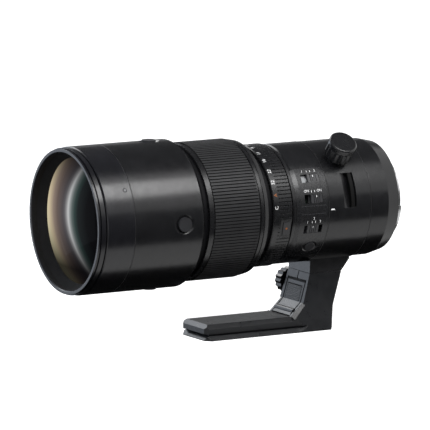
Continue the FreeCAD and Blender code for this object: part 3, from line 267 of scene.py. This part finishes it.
def blackened(material, principled, amount, share):
    """Darken the base colour to a share of itself where the amount is 1."""
    tree = material.node_tree
    socket = principled.inputs["Base Color"]
    before = socket.links[0].from_socket
    scale = tree.nodes.new("ShaderNodeVectorMath")
    scale.operation = "SCALE"
    tree.links.new(before, scale.inputs["Vector"])
    tree.links.new(calculated(material, "MULTIPLY_ADD", amount, share - 1.0, 1.0), scale.inputs["Scale"])
    tree.links.new(scale.outputs["Vector"], socket)


def dulled(material, principled, amount, extra):
    """Add to the roughness where the amount is 1."""
    socket = principled.inputs["Roughness"]
    matt = calculated(material, "MULTIPLY_ADD", amount, extra, socket.links[0].from_socket)
    material.node_tree.links.new(matt, socket)


def coated_metal(name, color, roughness, specular=0.5, edge=0.0):
    """Satin coating on metal: fine grain, slightly cloudy gloss, a trace of colour change."""
    material, principled = shader(name, color, roughness, specular=specular)
    patches = noise(material, scale=60.0, detail=3.0)
    tint(material, principled, patches, scaled(color, 0.8), scaled(color, 1.2))
    cloud(material, principled, noise(material, scale=220.0), roughness - 0.03, roughness + 0.04)
    before = soft_edges(material, edge) if edge else None
    grain = noise(material, scale=2600.0, detail=2.0)
    bump(material, principled, grain, strength=0.12, depth=0.02 * MM, before=before)
    return material


def moulded_rubber(name, color, roughness):
    """Matt rubber with a dusty bloom and a fine pebble."""
    material, principled = shader(name, color, roughness, specular=0.25)
    tint(material, principled, noise(material, scale=90.0, detail=5.0), color, scaled(color, 1.3))
    cloud(material, principled, noise(material, scale=400.0), roughness - 0.08, roughness + 0.06)
    pebble = noise(material, scale=3200.0, detail=2.0)
    bump(material, principled, pebble, strength=0.25, depth=0.03 * MM)
    return material


def turned_steel(name, color, roughness):
    """Bare metal with fine tool marks running round the lens axis."""
    material, principled = shader(name, color, roughness, metallic=1.0)
    marks = noise(material, scale=40.0, detail=6.0, stretch=(1.0, 120.0, 1.0))
    tint(material, principled, marks, scaled(color, 0.85), color)
    cloud(material, principled, marks, roughness - 0.06, roughness + 0.08)
    bump(material, principled, marks, strength=0.08, depth=0.01 * MM)
    return material


def moulded_plastic(name, color, roughness):
    """Fine-grained moulded plastic."""
    material, principled = shader(name, color, roughness)
    tint(material, principled, noise(material, scale=140.0), color, scaled(color, 1.3))
    cloud(material, principled, noise(material, scale=500.0), roughness - 0.05, roughness + 0.05)
    grain = noise(material, scale=4000.0, detail=2.0)
    bump(material, principled, grain, strength=0.08, depth=0.012 * MM)
    return material


def paint(name, color, glow=0.0):
    """Printed or filled marking paint, a little uneven; the same also gives the black of painted shade. Its
    glow, where one is given, is painted light that brightens a mark.
    """
    material, principled = shader(name, color, roughness=0.55)
    tint(material, principled, noise(material, scale=1500.0), scaled(color, 0.85), color)
    bump(material, principled, noise(material, scale=5000.0, detail=2.0), strength=0.1, depth=0.01 * MM)
    principled.inputs["Emission Color"].default_value = (*color, 1.0)
    principled.inputs["Emission Strength"].default_value = glow
    return material


def threaded_coating(name, color, roughness):
    """The front ring's coating, matt and with a fine screw thread inside its mouth."""
    material = coated_metal(name, color, roughness, edge=0.25 * MM)
    principled = material.node_tree.nodes["Principled BSDF"]
    inside = calculated(material, "LESS_THAN", axis_distance(material), THREAD_LIMIT)
    turns = calculated(material, "MULTIPLY", places(material)["Y"], 2 * math.pi / THREAD_PITCH)
    ripple = calculated(material, "SINE", turns)
    masked = calculated(material, "MULTIPLY", ripple, inside)
    grain = principled.inputs["Normal"].links[0].from_socket
    bump(material, principled, masked, strength=0.25, depth=0.04 * MM, before=grain)
    blackened(material, principled, inside, share=0.3)
    dulled(material, principled, inside, extra=0.68)
    return material


def grooved_rubber(name, color, roughness, top, depth):
    """Moulded rubber with painted shade in its grooves: darker, and rougher, below the tops of the ribs."""
    material = moulded_rubber(name, color, roughness)
    principled = material.node_tree.nodes["Principled BSDF"]
    level = ranged(material, axis_distance(material), (top - 0.01 * MM, top - depth))
    # Painted shade: the grooves fall to a small share of the rubber's colour.
    blackened(material, principled, level, share=0.03)
    dulled(material, principled, level, extra=0.3)
    return material


def glass_with_painted_reflections(name, stops, radius, middle, bend, strength):
    """Dark glass with painted reflections: glowing colour bands fixed to the glass stand in for what its
    coating mirrors; they bow to one side and dim up and down.
    """
    dimmest = 0.2
    material, principled = shader(name, (0.002, 0.002, 0.003), roughness=0.04, specular=0.005)
    tree = material.node_tree
    place = places(material)
    height = calculated(material, "MULTIPLY_ADD", place["Z"], 1.0 / radius, -middle)
    square = calculated(material, "MULTIPLY", height, height)
    side = calculated(material, "MULTIPLY_ADD", place["X"], 0.5 / radius, 0.5)
    across = calculated(material, "MULTIPLY_ADD", square, -0.5 * bend, side)
    painted_reflection_bands = color_ramp(material, across, stops)
    tree.links.new(painted_reflection_bands, principled.inputs["Emission Color"])
    open_height = calculated(material, "MAXIMUM", calculated(material, "SUBTRACT", 1.0, square), dimmest)
    glow = calculated(material, "MULTIPLY", calculated(material, "POWER", open_height, 2.0), strength)
    tree.links.new(glow, principled.inputs["Emission Strength"])
    cloud(material, principled, noise(material, scale=25.0), 0.03, 0.06)
    return material


coating = (0.009, 0.009, 0.010)
black_coat = coated_metal("black_coat", coating, 0.23, edge=0.3 * MM)
front_coat = threaded_coating("front_coat", (0.009, 0.009, 0.011), 0.23)
foot_coat = coated_metal("foot_coat", (0.007, 0.0075, 0.009), 0.3, edge=0.35 * MM)
inner_coat = coated_metal("inner_coat", (0.004, 0.004, 0.005), 0.55, specular=0.12)
ring_coat = coated_metal("ring_coat", coating, 0.26, edge=0.25 * MM)
knob_coat = coated_metal("knob_coat", coating, 0.26, edge=0.3 * MM)
# The strap bars' black, also used for painted shade on the latch.
black_bar_and_shade = coated_metal("black_bar_and_shade", (0.003, 0.003, 0.003), 0.6, specular=0.12)
rubber = grooved_rubber("grip_rubber", (0.021, 0.021, 0.022), 0.5, grip_radius, GROOVE_DEPTH)
button_rubber = moulded_rubber("button_rubber", (0.020, 0.020, 0.022), 0.5)
panel_plastic = moulded_plastic("panel_plastic", (0.012, 0.012, 0.013), 0.26)
slider_plastic = moulded_plastic("slider_plastic", (0.024, 0.024, 0.026), 0.35)
dark_plastic = moulded_plastic("dark_plastic", (0.008, 0.008, 0.009), 0.5)
board_green = moulded_plastic("board_green", (0.003, 0.010, 0.006), 0.5)
bright_steel = turned_steel("bright_steel", (0.62, 0.62, 0.63), 0.24)
dark_steel = turned_steel("dark_steel", (0.16, 0.16, 0.17), 0.35)
gold = turned_steel("contact_gold", (0.83, 0.6, 0.25), 0.2)
# The glow of the white, pale and orange marks is painted light.
white_paint = paint("white_paint", (0.80, 0.80, 0.80), glow=0.30)
pale_paint = paint("pale_paint", (0.30, 0.31, 0.32), glow=0.08)
grey_paint = paint("grey_paint", (0.06, 0.06, 0.065))
orange_paint = paint("orange_paint", (0.38, 0.11, 0.02), glow=0.10)
# Black for painted shade, in the seams and round the set screw.
shade_black = paint("shade_black", (0.003, 0.003, 0.004))
# The front glass's glowing bands, with the grey-white streak among them, are a painted reflection.
front_glass = glass_with_painted_reflections("front_glass", [
    (0.00, (0.68, 0.61, 0.40)),
    (0.07, (0.56, 0.46, 0.31)),
    (0.15, (0.27, 0.21, 0.17)),
    (0.24, (0.12, 0.09, 0.08)),
    (0.33, (0.075, 0.065, 0.068)),
    (0.365, (0.10, 0.095, 0.10)),
    (0.40, (0.26, 0.255, 0.26)),
    (0.43, (0.52, 0.53, 0.53)),
    (0.46, (0.25, 0.27, 0.27)),
    (0.49, (0.10, 0.125, 0.12)),
    (0.53, (0.030, 0.050, 0.046)),
    (0.58, (0.012, 0.015, 0.015)),
    (0.70, (0.004, 0.004, 0.004)),
    (1.00, (0.001, 0.001, 0.001)),
], radius=glass_radius, middle=0.14, bend=0.73, strength=1.0)
inner_glass = glass_with_painted_reflections("inner_glass", [
    (0.00, (0.020, 0.014, 0.030)),
    (0.45, (0.012, 0.024, 0.020)),
    (1.00, (0.004, 0.006, 0.006)),
], radius=30.0 * MM, middle=0.0, bend=0.5, strength=0.6)

LOOKS = {
    "front_ring": front_coat,
    "front_barrel": black_coat,
    "panel_barrel": black_coat,
    "tripod_collar": black_coat,
    "rear_barrel": black_coat,
    "strap_bars": black_bar_and_shade,
    "collar_knob": knob_coat,
    "clamp_knob": knob_coat,
    "focus_ring": ring_coat,
    "aperture_ring": ring_coat,
    "main_tube": inner_coat,
    "rear_cell": inner_coat,
    "stabiliser_housing": inner_coat,
    "focus_carriage": inner_coat,
    "foot": foot_coat,
    "release_latch": foot_coat,
    "focus_grip": rubber,
    "focus_hold_right": button_rubber,
    "focus_hold_top": button_rubber,
    "focus_hold_left": button_rubber,
    "focus_hold_bottom": button_rubber,
    "set_button": button_rubber,
    "switch_plate": panel_plastic,
    "limit_switch": slider_plastic,
    "stabiliser_switch": slider_plastic,
    "preset_switch": slider_plastic,
    "aperture_lock": slider_plastic,
    "rear_baffle": dark_plastic,
    "contact_block": dark_plastic,
    "stabiliser_frame": dark_plastic,
    "stabiliser_cell": dark_plastic,
    "iris_housing": dark_plastic,
    "focus_motor": dark_plastic,
    "switch_board": board_green,
    "mount_flange": bright_steel,
    "clamp_screw": dark_steel,
    "collar_knob_stud": dark_steel,
    "latch_pin": dark_steel,
    "guide_rods": dark_steel,
    "contact_pads": gold,
    "front_element": front_glass,
    "second_element": inner_glass,
    "rear_element": inner_glass,
    "stabiliser_lens": inner_glass,
    "focus_lens": inner_glass,
}
for node_name, look in LOOKS.items():
    for material_slot in frame["nodes"][node_name].material_slots:
        material_slot.material = look


def new_object(name, mesh):
    """A new object of a mesh in the scene."""
    thing = bpy.data.objects.new(name, mesh)
    bpy.context.scene.collection.objects.link(thing)
    return thing


def mesh_of(name, shape, material):
    """A mesh made from a bmesh, with its material."""
    mesh = bpy.data.meshes.new(name)
    shape.to_mesh(mesh)
    shape.free()
    mesh.materials.append(material)
    return mesh


def piece(name, shape, material, body):
    """A new object of the lens, made from a bmesh, that rides on a body."""
    bmesh.ops.recalc_face_normals(shape, faces=shape.faces)
    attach(new_object(name, mesh_of(name, shape, material)), body)


def on_tube(radius, angle, along):
    """A point on a tube round the lens axis."""
    turn = math.radians(angle)
    return Vector((radius * math.cos(turn), along, radius * math.sin(turn)))


def spanned(angle, span):
    """The first and last angle of a span that is counted from an angle."""
    return angle + span[0], angle + span[1]


def turned_to(outward, place):
    """The move that stands a shape made along Z on a place, facing outward."""
    return Matrix.Translation(place) @ Vector(outward).to_track_quat("Z", "Y").to_matrix().to_4x4()


def skin_rows(name, body, material, shape, rows):
    """A thin closed strip through rows of four points: two underneath, then two on top."""
    for before, after in zip(rows, rows[1:]):
        shape.faces.new((before[2], before[3], after[3], after[2]))
        shape.faces.new((before[0], before[2], after[2], after[0]))
        shape.faces.new((before[3], before[1], after[1], after[3]))
    for row in (rows[0], rows[-1]):
        shape.faces.new((row[0], row[1], row[3], row[2]))
    piece(name, shape, material, body)


def patch(name, body, material, radius, along, angles, steps=3):
    """A thin curved strip on a tube, between two places along Y and two angles."""
    shape = bmesh.new()
    rows = []
    for index in range(steps + 1):
        angle = angles[0] + (angles[1] - angles[0]) * index / steps
        rows.append([
            shape.verts.new(on_tube(radius + height, angle, place))
            for height in (-SINK, LIFT) for place in along
        ])
    skin_rows(name, body, material, shape, rows)


def strip(name, body, material, across, start, end):
    """A thin flat strip on a sloping face, between two places along X and two points of the face."""
    along = (end - start).normalized()
    outward = Vector((0.0, along.z, -along.y))
    shape = bmesh.new()
    rows = []
    for point in (start, end):
        rows.append([
            shape.verts.new(Vector((place, point.y, point.z)) + outward * height)
            for height in (-SINK, LIFT) for place in across
        ])
    skin_rows(name, body, material, shape, rows)


def words(name, body, text, material, height, radius, along, angle, round_axis):
    """Plain characters wrapped on a tube, reading round the axis or along it."""
    curve = bpy.data.curves.new(name + "_curve", "FONT")
    curve.body = text
    curve.size = height / CAPITAL_SHARE
    curve.align_x = "CENTER"
    curve.align_y = "CENTER"
    holder = new_object(name + "_curve", curve)
    flat = bpy.data.meshes.new_from_object(holder)
    bpy.data.objects.remove(holder)
    shape = bmesh.new()
    shape.from_mesh(flat)
    for vertex in shape.verts:
        across, up, _ = vertex.co
        if round_axis:
            vertex.co = on_tube(radius + LIFT, angle + math.degrees(across / radius), along - up)
        else:
            vertex.co = on_tube(radius + LIFT, angle + math.degrees(up / radius), along + across)
    piece(name, shape, material, body)


def round_head(name, body, material, place, outward, size, height, bevel, slots=0):
    """A small round head with a bevelled rim and, if asked, a cross recess in its top."""
    turns = 24
    cross_reach = 0.62 * size
    inner_reach = 0.3 * size
    cross_depth = 2 * bevel
    shape = bmesh.new()
    rings = []
    for reach, level in [(size - bevel, height), (size, height - bevel), (size, -height)]:
        rings.append([
            shape.verts.new((reach * math.cos(2 * math.pi * index / turns),
                             reach * math.sin(2 * math.pi * index / turns), level))
            for index in range(turns)
        ])
    inner = []
    for index in range(turns):
        turn = 2 * math.pi * index / turns
        deep = slots and index % (turns // slots) in (0, 1)
        level = height - cross_depth if deep else height
        reach = cross_reach if deep else inner_reach
        inner.append(shape.verts.new((reach * math.cos(turn), reach * math.sin(turn), level)))
    middle = shape.verts.new((0.0, 0.0, height - (cross_depth if slots else 0.0)))
    for index in range(turns):
        after = (index + 1) % turns
        shape.faces.new((middle, inner[index], inner[after]))
        for near, far in zip([inner] + rings, rings):
            shape.faces.new((near[index], far[index], far[after], near[after]))
    bmesh.ops.transform(shape, matrix=turned_to(outward, place), verts=shape.verts)
    piece(name, shape, material, body)


def knob_cap():
    """The smooth turned cap with broken edges over the flutes of the collar's lock knob."""
    lock = next(joint for joint in frame["record"]["behaviour"]["joints"] if joint["name"] == "lock_turn")
    shape = bmesh.new()
    rim = [shape.verts.new((reach * MM, 0.0, level * MM)) for reach, level in CAP_OUTLINE]
    edges = [shape.edges.new(pair) for pair in zip(rim, rim[1:])]
    bmesh.ops.spin(shape, geom=rim + edges, cent=(0.0, 0.0, 0.0), axis=(0.0, 0.0, 1.0),
                   angle=2 * math.pi, steps=64, use_duplicate=False)
    bmesh.ops.remove_doubles(shape, verts=shape.verts, dist=0.001 * MM)
    bmesh.ops.transform(shape, matrix=turned_to(lock["axis"], lock["pos_m"]), verts=shape.verts)
    piece("knob_cap", shape, knob_coat, "lock_knob")


def aperture_marks():
    """The plain numbers and letters on the aperture ring's band, and the dot on its lock button."""
    band = ring_low.y + 2.5 * MM
    for text, angle in {**NUMBERS, "A": AUTO_ANGLE}.items():
        color = orange_paint if text == "A" else white_paint
        name = "dial_" + text.replace(".", "_")
        words(name, "aperture_ring", text, color, DIAL_HEIGHT, ring_radius, band, angle, round_axis=True)
    lock_low, lock_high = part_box("aperture_lock")
    middle = (lock_low + lock_high) / 2
    button_radius = ring_radius - 0.3 * MM
    round_head("lock_dot", "aperture_lock", orange_paint, on_tube(button_radius, LOCK_ANGLE, middle.y),
               on_tube(1.0, LOCK_ANGLE, 0.0), size=0.75 * MM, height=0.04 * MM, bevel=0.02 * MM)


def panel_marks():
    """Labels, ticks and dividers on the switch plate, and the pointers on its sliders."""
    preset_low, preset_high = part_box("preset_switch")
    middle = (preset_low.y + preset_high.y) / 2
    for name, angle, front, rear in (
        ("limit", LIMIT_ANGLE, "1", "2"),
        ("steady", STEADY_ANGLE, "OFF", "ON"),
        ("preset", PRESET_ANGLE, "1", "3"),
    ):
        label_angle = angle + LABEL_RISE
        for end, text, step in (("front", front, -LABEL_REACH), ("rear", rear, LABEL_REACH)):
            words(f"label_{name}_{end}", "barrel", text, white_paint, LABEL_HEIGHT, plate_radius,
                  middle + step, label_angle, round_axis=False)
        for side, place in (("front", middle - TICK_REACH), ("rear", middle + TICK_REACH)):
            patch(f"tick_{name}_{side}", "barrel", white_paint, plate_radius,
                  (place - TICK_HALF, place + TICK_HALF), spanned(label_angle, TICK_SPAN))
    words("label_preset_middle", "barrel", "2", white_paint, LABEL_HEIGHT, plate_radius, middle,
          PRESET_ANGLE + MIDDLE_LABEL_RISE, round_axis=False)
    for name, angle in DIVIDER_ANGLES.items():
        patch(f"divider_{name}", "barrel", grey_paint, plate_radius,
              (plate_low.y + 3.4 * MM, plate_high.y - 1.6 * MM), spanned(angle, DIVIDER_SPAN))
    # The sliders' tops are flat, so a pointer lies a little further out than the top's middle.
    pointer_radius = (plate_radius - 0.3 * MM) / math.cos(math.radians(2.4))
    for name, body, angle in (
        ("limit", "limit_switch", LIMIT_ANGLE),
        ("steady", "stabiliser_switch", STEADY_ANGLE),
        ("preset", "preset_switch", PRESET_ANGLE),
    ):
        low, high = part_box(body)
        centre = (low.y + high.y) / 2
        patch(f"pointer_{name}", body, white_paint, pointer_radius,
              (centre - POINTER_HALF, centre + POINTER_HALF), spanned(angle, POINTER_SPAN))
    # The pale tongue in front of the upper slider slides under the panel with it.
    flange_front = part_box("limit_switch")[0].y
    patch("slot_field", "limit_switch", pale_paint, plate_radius - FIELD_DEPTH,
          (flange_front - 3.7 * MM, flange_front + 1.0 * MM), spanned(LIMIT_ANGLE, FIELD_SPAN), steps=6)


def collar_marks():
    """The white index dash on the collar."""
    patch("collar_dash", "collar", white_paint, collar_radius,
          (collar_low.y + 1.1 * MM, collar_low.y + 3.9 * MM), DASH_SPAN)


def latch_painted_shade():
    """Painted shade on the release latch: black strips along the gap round it and along the top and left
    edges of its ribbed recess.
    """
    low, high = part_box("release_latch")
    half = high.x
    top = Vector((0.0, LATCH_TOP_PLACE, high.z))
    bend = Vector((0.0, LATCH_BEND_PLACE, LATCH_BEND_HEIGHT))
    toe = bend.lerp(low, 0.9)
    gap_end = top.lerp(bend, 0.085)
    recess_start = top.lerp(bend, 0.235)
    recess_edge = top.lerp(bend, 0.3)
    left = (-half, -half + LATCH_GAP)
    right = (half - LATCH_GAP, half)
    for name, across, start, end in (
        ("latch_gap_top", (-half, half), top, gap_end),
        ("latch_gap_left", left, top, bend),
        ("latch_gap_right", right, top, bend),
        ("latch_gap_low_left", left, bend, toe),
        ("latch_gap_low_right", right, bend, toe),
        ("latch_recess_top", (-RECESS_OUTER, RECESS_INNER), recess_start, recess_edge),
        ("latch_recess_left", (-RECESS_OUTER, -RECESS_INNER), recess_edge, bend),
    ):
        strip(name, "release_latch", black_bar_and_shade, across, start, end)


def painted_seam_shade():
    """Painted shade: black lines in the seams where the front ring, the panel barrel and the collar meet
    their neighbours, for the shade in the gaps between them.
    """
    panel_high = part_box("panel_barrel")[1]
    for name, body, radius, rear in (
        ("seam_front", "barrel", barrel_radius, front_high.y),
        ("seam_panel", "barrel", panel_high.z, panel_high.y),
        ("seam_collar", "collar", collar_radius, collar_high.y),
    ):
        along = (rear - 2 * SEAM_WIDTH, rear - SEAM_WIDTH)
        patch(name, body, shade_black, radius, along, (0.0, 360.0), steps=96)


def small_screws():
    """The set screw in the front ring on a black disc of painted shade for its pit, and the screws in the
    mounting flange.
    """
    place = on_tube(barrel_radius, SET_SCREW_ANGLE, front_high.y - 4.9 * MM)
    outward = on_tube(1.0, SET_SCREW_ANGLE, 0.0)
    round_head("set_screw_pit_shade", "barrel", shade_black, place, outward,
               size=1.6 * MM, height=0.02 * MM, bevel=0.01 * MM)
    round_head("set_screw", "barrel", dark_steel, place, outward,
               size=0.85 * MM, height=0.05 * MM, bevel=0.03 * MM, slots=4)
    for index in range(FLANGE_SCREWS):
        angle = 360 * index / FLANGE_SCREWS + FIRST_FLANGE_ANGLE
        place = on_tube(flange_radius - 2.9 * MM, angle, 0.0)
        round_head(f"flange_screw_{index + 1}", "barrel", dark_steel, place, (0.0, 1.0, 0.0),
                   size=1.3 * MM, height=0.25 * MM, bevel=0.1 * MM, slots=4)


def plane(name, corners, material):
    """A flat four-cornered stage piece."""
    mesh = bpy.data.meshes.new(name)
    mesh.from_pydata(corners, [], [(0, 1, 2, 3)])
    mesh.materials.append(material)
    thing = new_object(name, mesh)
    return thing


def glowing(name, color, strength):
    """A reflector's plain glowing material and its shader."""
    material, principled = shader(name, (0.0, 0.0, 0.0), roughness=1.0, specular=0.0)
    principled.inputs["Emission Color"].default_value = (*color, 1.0)
    principled.inputs["Emission Strength"].default_value = strength
    return material, principled


def upright_card(name, place, along, heights, color, strength):
    """A reflector that stands across the X axis."""
    near, far = along
    low, high = heights
    corners = [(place, near, low), (place, far, low), (place, far, high), (place, near, high)]
    return plane(name, corners, glowing(name, color, strength)[0])


def floor_card(name, across, along, height, color, strength):
    """A reflector that lies on the floor."""
    left, right = across
    near, far = along
    corners = [(left, near, height), (right, near, height), (right, far, height), (left, far, height)]
    return plane(name, corners, glowing(name, color, strength)[0])


def dim_tunnel():
    """A dim open tube round the lens for its sides to mirror; beyond its ends the studio is white."""
    look, principled = glowing("tunnel_dim", SKY, 1.0)
    level = ranged(look, places(look)["Z"], (-0.67, -0.15), (DIM_LOW, DIM_HIGH))
    look.node_tree.links.new(level, principled.inputs["Emission Strength"])
    lying = Matrix.Translation((0.0, TUNNEL_MIDDLE, 0.0)) @ Matrix.Rotation(math.pi / 2, 4, "X")
    shape = bmesh.new()
    bmesh.ops.create_cone(shape, cap_ends=False, segments=64, radius1=TUNNEL_RADIUS,
                          radius2=TUNNEL_RADIUS, depth=TUNNEL_LENGTH, matrix=lying)
    tunnel = new_object("dim_tunnel", mesh_of("dim_tunnel", shape, look))
    return tunnel


def pale_floor():
    """The pale floor, whitest away from the lens; its glow is dimmer near the lens, a painted shade there,
    under which the lamps' real shadow shows.
    """
    look, principled = shader("floor_white", (0.5, 0.5, 0.5), roughness=0.9, specular=0.1)
    tree = look.node_tree
    tint(look, principled, noise(look, scale=3.0), (0.49, 0.49, 0.49), (0.51, 0.51, 0.51))
    length = tree.nodes.new("ShaderNodeVectorMath")
    length.operation = "LENGTH"
    tree.links.new(coordinates(look), length.inputs[0])
    # Painted shade: the floor's glow is lower near the lens.
    glow = color_ramp(look, length.outputs["Value"], [(0.10, (0.90, 0.90, 0.90)), (0.35, WHITE)])
    tree.links.new(glow, principled.inputs["Emission Color"])
    principled.inputs["Emission Strength"].default_value = 1.0
    signs = ((-1, -1), (1, -1), (1, 1), (-1, 1))
    floor = plane("floor", [(FLOOR_REACH * across, FLOOR_REACH * along, 0) for across, along in signs], look)
    floor.location.z = floor_height
    floor.visible_glossy = False
    floor.visible_diffuse = False


def reflectors():
    """The reflectors that only the shiny surfaces see."""
    for card in (
        floor_card("floor_card", (0.052, 0.150), (-0.4, 0.35), floor_height - 1.0 * MM, WHITE, 1.05),
        upright_card("rear_card", -1.1, (0.25, 1.3), (-0.14, 0.42), (0.97, 0.98, 1.0), 0.34),
        upright_card("left_card", -0.9, (-1.1, -0.08), (-0.27, 0.65), (0.82, 0.89, 1.0), 1.6),
        dim_tunnel(),
    ):
        card.visible_camera = False
        card.visible_diffuse = False
        card.visible_shadow = False


def soft_light(name, target, direction, distance, width, length, power, color=WHITE):
    """A rectangular soft light that looks at a target; its long side lies along the lens."""
    lamp = bpy.data.lights.new(name, "AREA")
    lamp.shape = "RECTANGLE"
    lamp.size = width
    lamp.size_y = length
    lamp.energy = power
    lamp.color = color
    holder = new_object(name, lamp)
    out = Vector(direction).normalized()
    holder.location = Vector(target) + out * distance
    side = Vector((0, 1, 0)) if abs(out.y) < 0.9 else Vector((1, 0, 0))
    across = side.cross(out).normalized()
    holder.rotation_mode = "QUATERNION"
    holder.rotation_quaternion = Matrix((across, out.cross(across), out)).transposed().to_quaternion()
    return holder


def studio_lights():
    """The key light high on the right, a broad weak one round it, a cool one in front and one left."""
    soft_light("key", target=(0.0, -0.12, 0.0), direction=(0.65, 0.0, 0.76), distance=1.0,
               width=0.42, length=1.04, power=10.0)
    soft_light("broad", target=(0.0, 0.2, 0.0), direction=(0.71, 0.0, 0.71), distance=1.0,
               width=1.15, length=1.9, power=6.0)
    front = soft_light("front", target=(0.0, 0.0, 0.0), direction=(0.15, -1.0, 0.35), distance=1.2,
                       width=1.2, length=1.2, power=9.0, color=(0.85, 0.91, 1.0))
    front.visible_glossy = False
    soft_light("left", target=(0.0, -0.25, 0.0), direction=(-0.8, 0.0, 0.6), distance=1.0,
               width=0.6, length=0.7, power=5.0)


def surroundings():
    """White for the camera and for what metal and glass mirror, and almost no light on the lens."""
    world = bpy.data.worlds.new("studio")
    world.use_nodes = True
    tree = world.node_tree
    dim = tree.nodes["Background"]
    dim.inputs["Color"].default_value = (*SKY, 1.0)
    split = tree.nodes.new("ShaderNodeSeparateXYZ")
    tree.links.new(tree.nodes.new("ShaderNodeTexCoord").outputs["Generated"], split.inputs["Vector"])
    level = ranged(world, split.outputs["Z"], (-0.45, -0.10), (DIM_LOW, DIM_HIGH))
    tree.links.new(level, dim.inputs["Strength"])
    bright = tree.nodes.new("ShaderNodeBackground")
    bright.inputs["Color"].default_value = (*WHITE, 1.0)
    seen = tree.nodes.new("ShaderNodeLightPath").outputs
    shown = calculated(world, "ADD", seen["Is Camera Ray"], seen["Is Glossy Ray"])
    shown = calculated(world, "ADD", shown, seen["Is Transmission Ray"])
    mix = tree.nodes.new("ShaderNodeMixShader")
    tree.links.new(shown, mix.inputs["Fac"])
    tree.links.new(dim.outputs["Background"], mix.inputs[1])
    tree.links.new(bright.outputs["Background"], mix.inputs[2])
    tree.links.new(mix.outputs["Shader"], tree.nodes["World Output"].inputs["Surface"])
    bpy.context.scene.world = world


def camera_view():
    """The camera at the photograph's angle."""
    camera_data = bpy.data.cameras.new("camera")
    camera_data.sensor_width = CAMERA_SENSOR
    camera_data.lens = CAMERA_LENS
    camera_data.clip_end = CAMERA_CLIP
    camera = new_object("camera", camera_data)
    turn = Matrix((CAMERA_RIGHT, -CAMERA_DOWN, -CAMERA_AHEAD)).transposed().to_4x4()
    camera.matrix_world = Matrix.Translation(CAMERA_PLACE) @ turn
    bpy.context.scene.camera = camera
    bpy.context.scene.view_settings.view_transform = "Standard"


knob_cap()
aperture_marks()
panel_marks()
collar_marks()
latch_painted_shade()
painted_seam_shade()
small_screws()
pale_floor()
reflectors()
studio_lights()
surroundings()
camera_view()
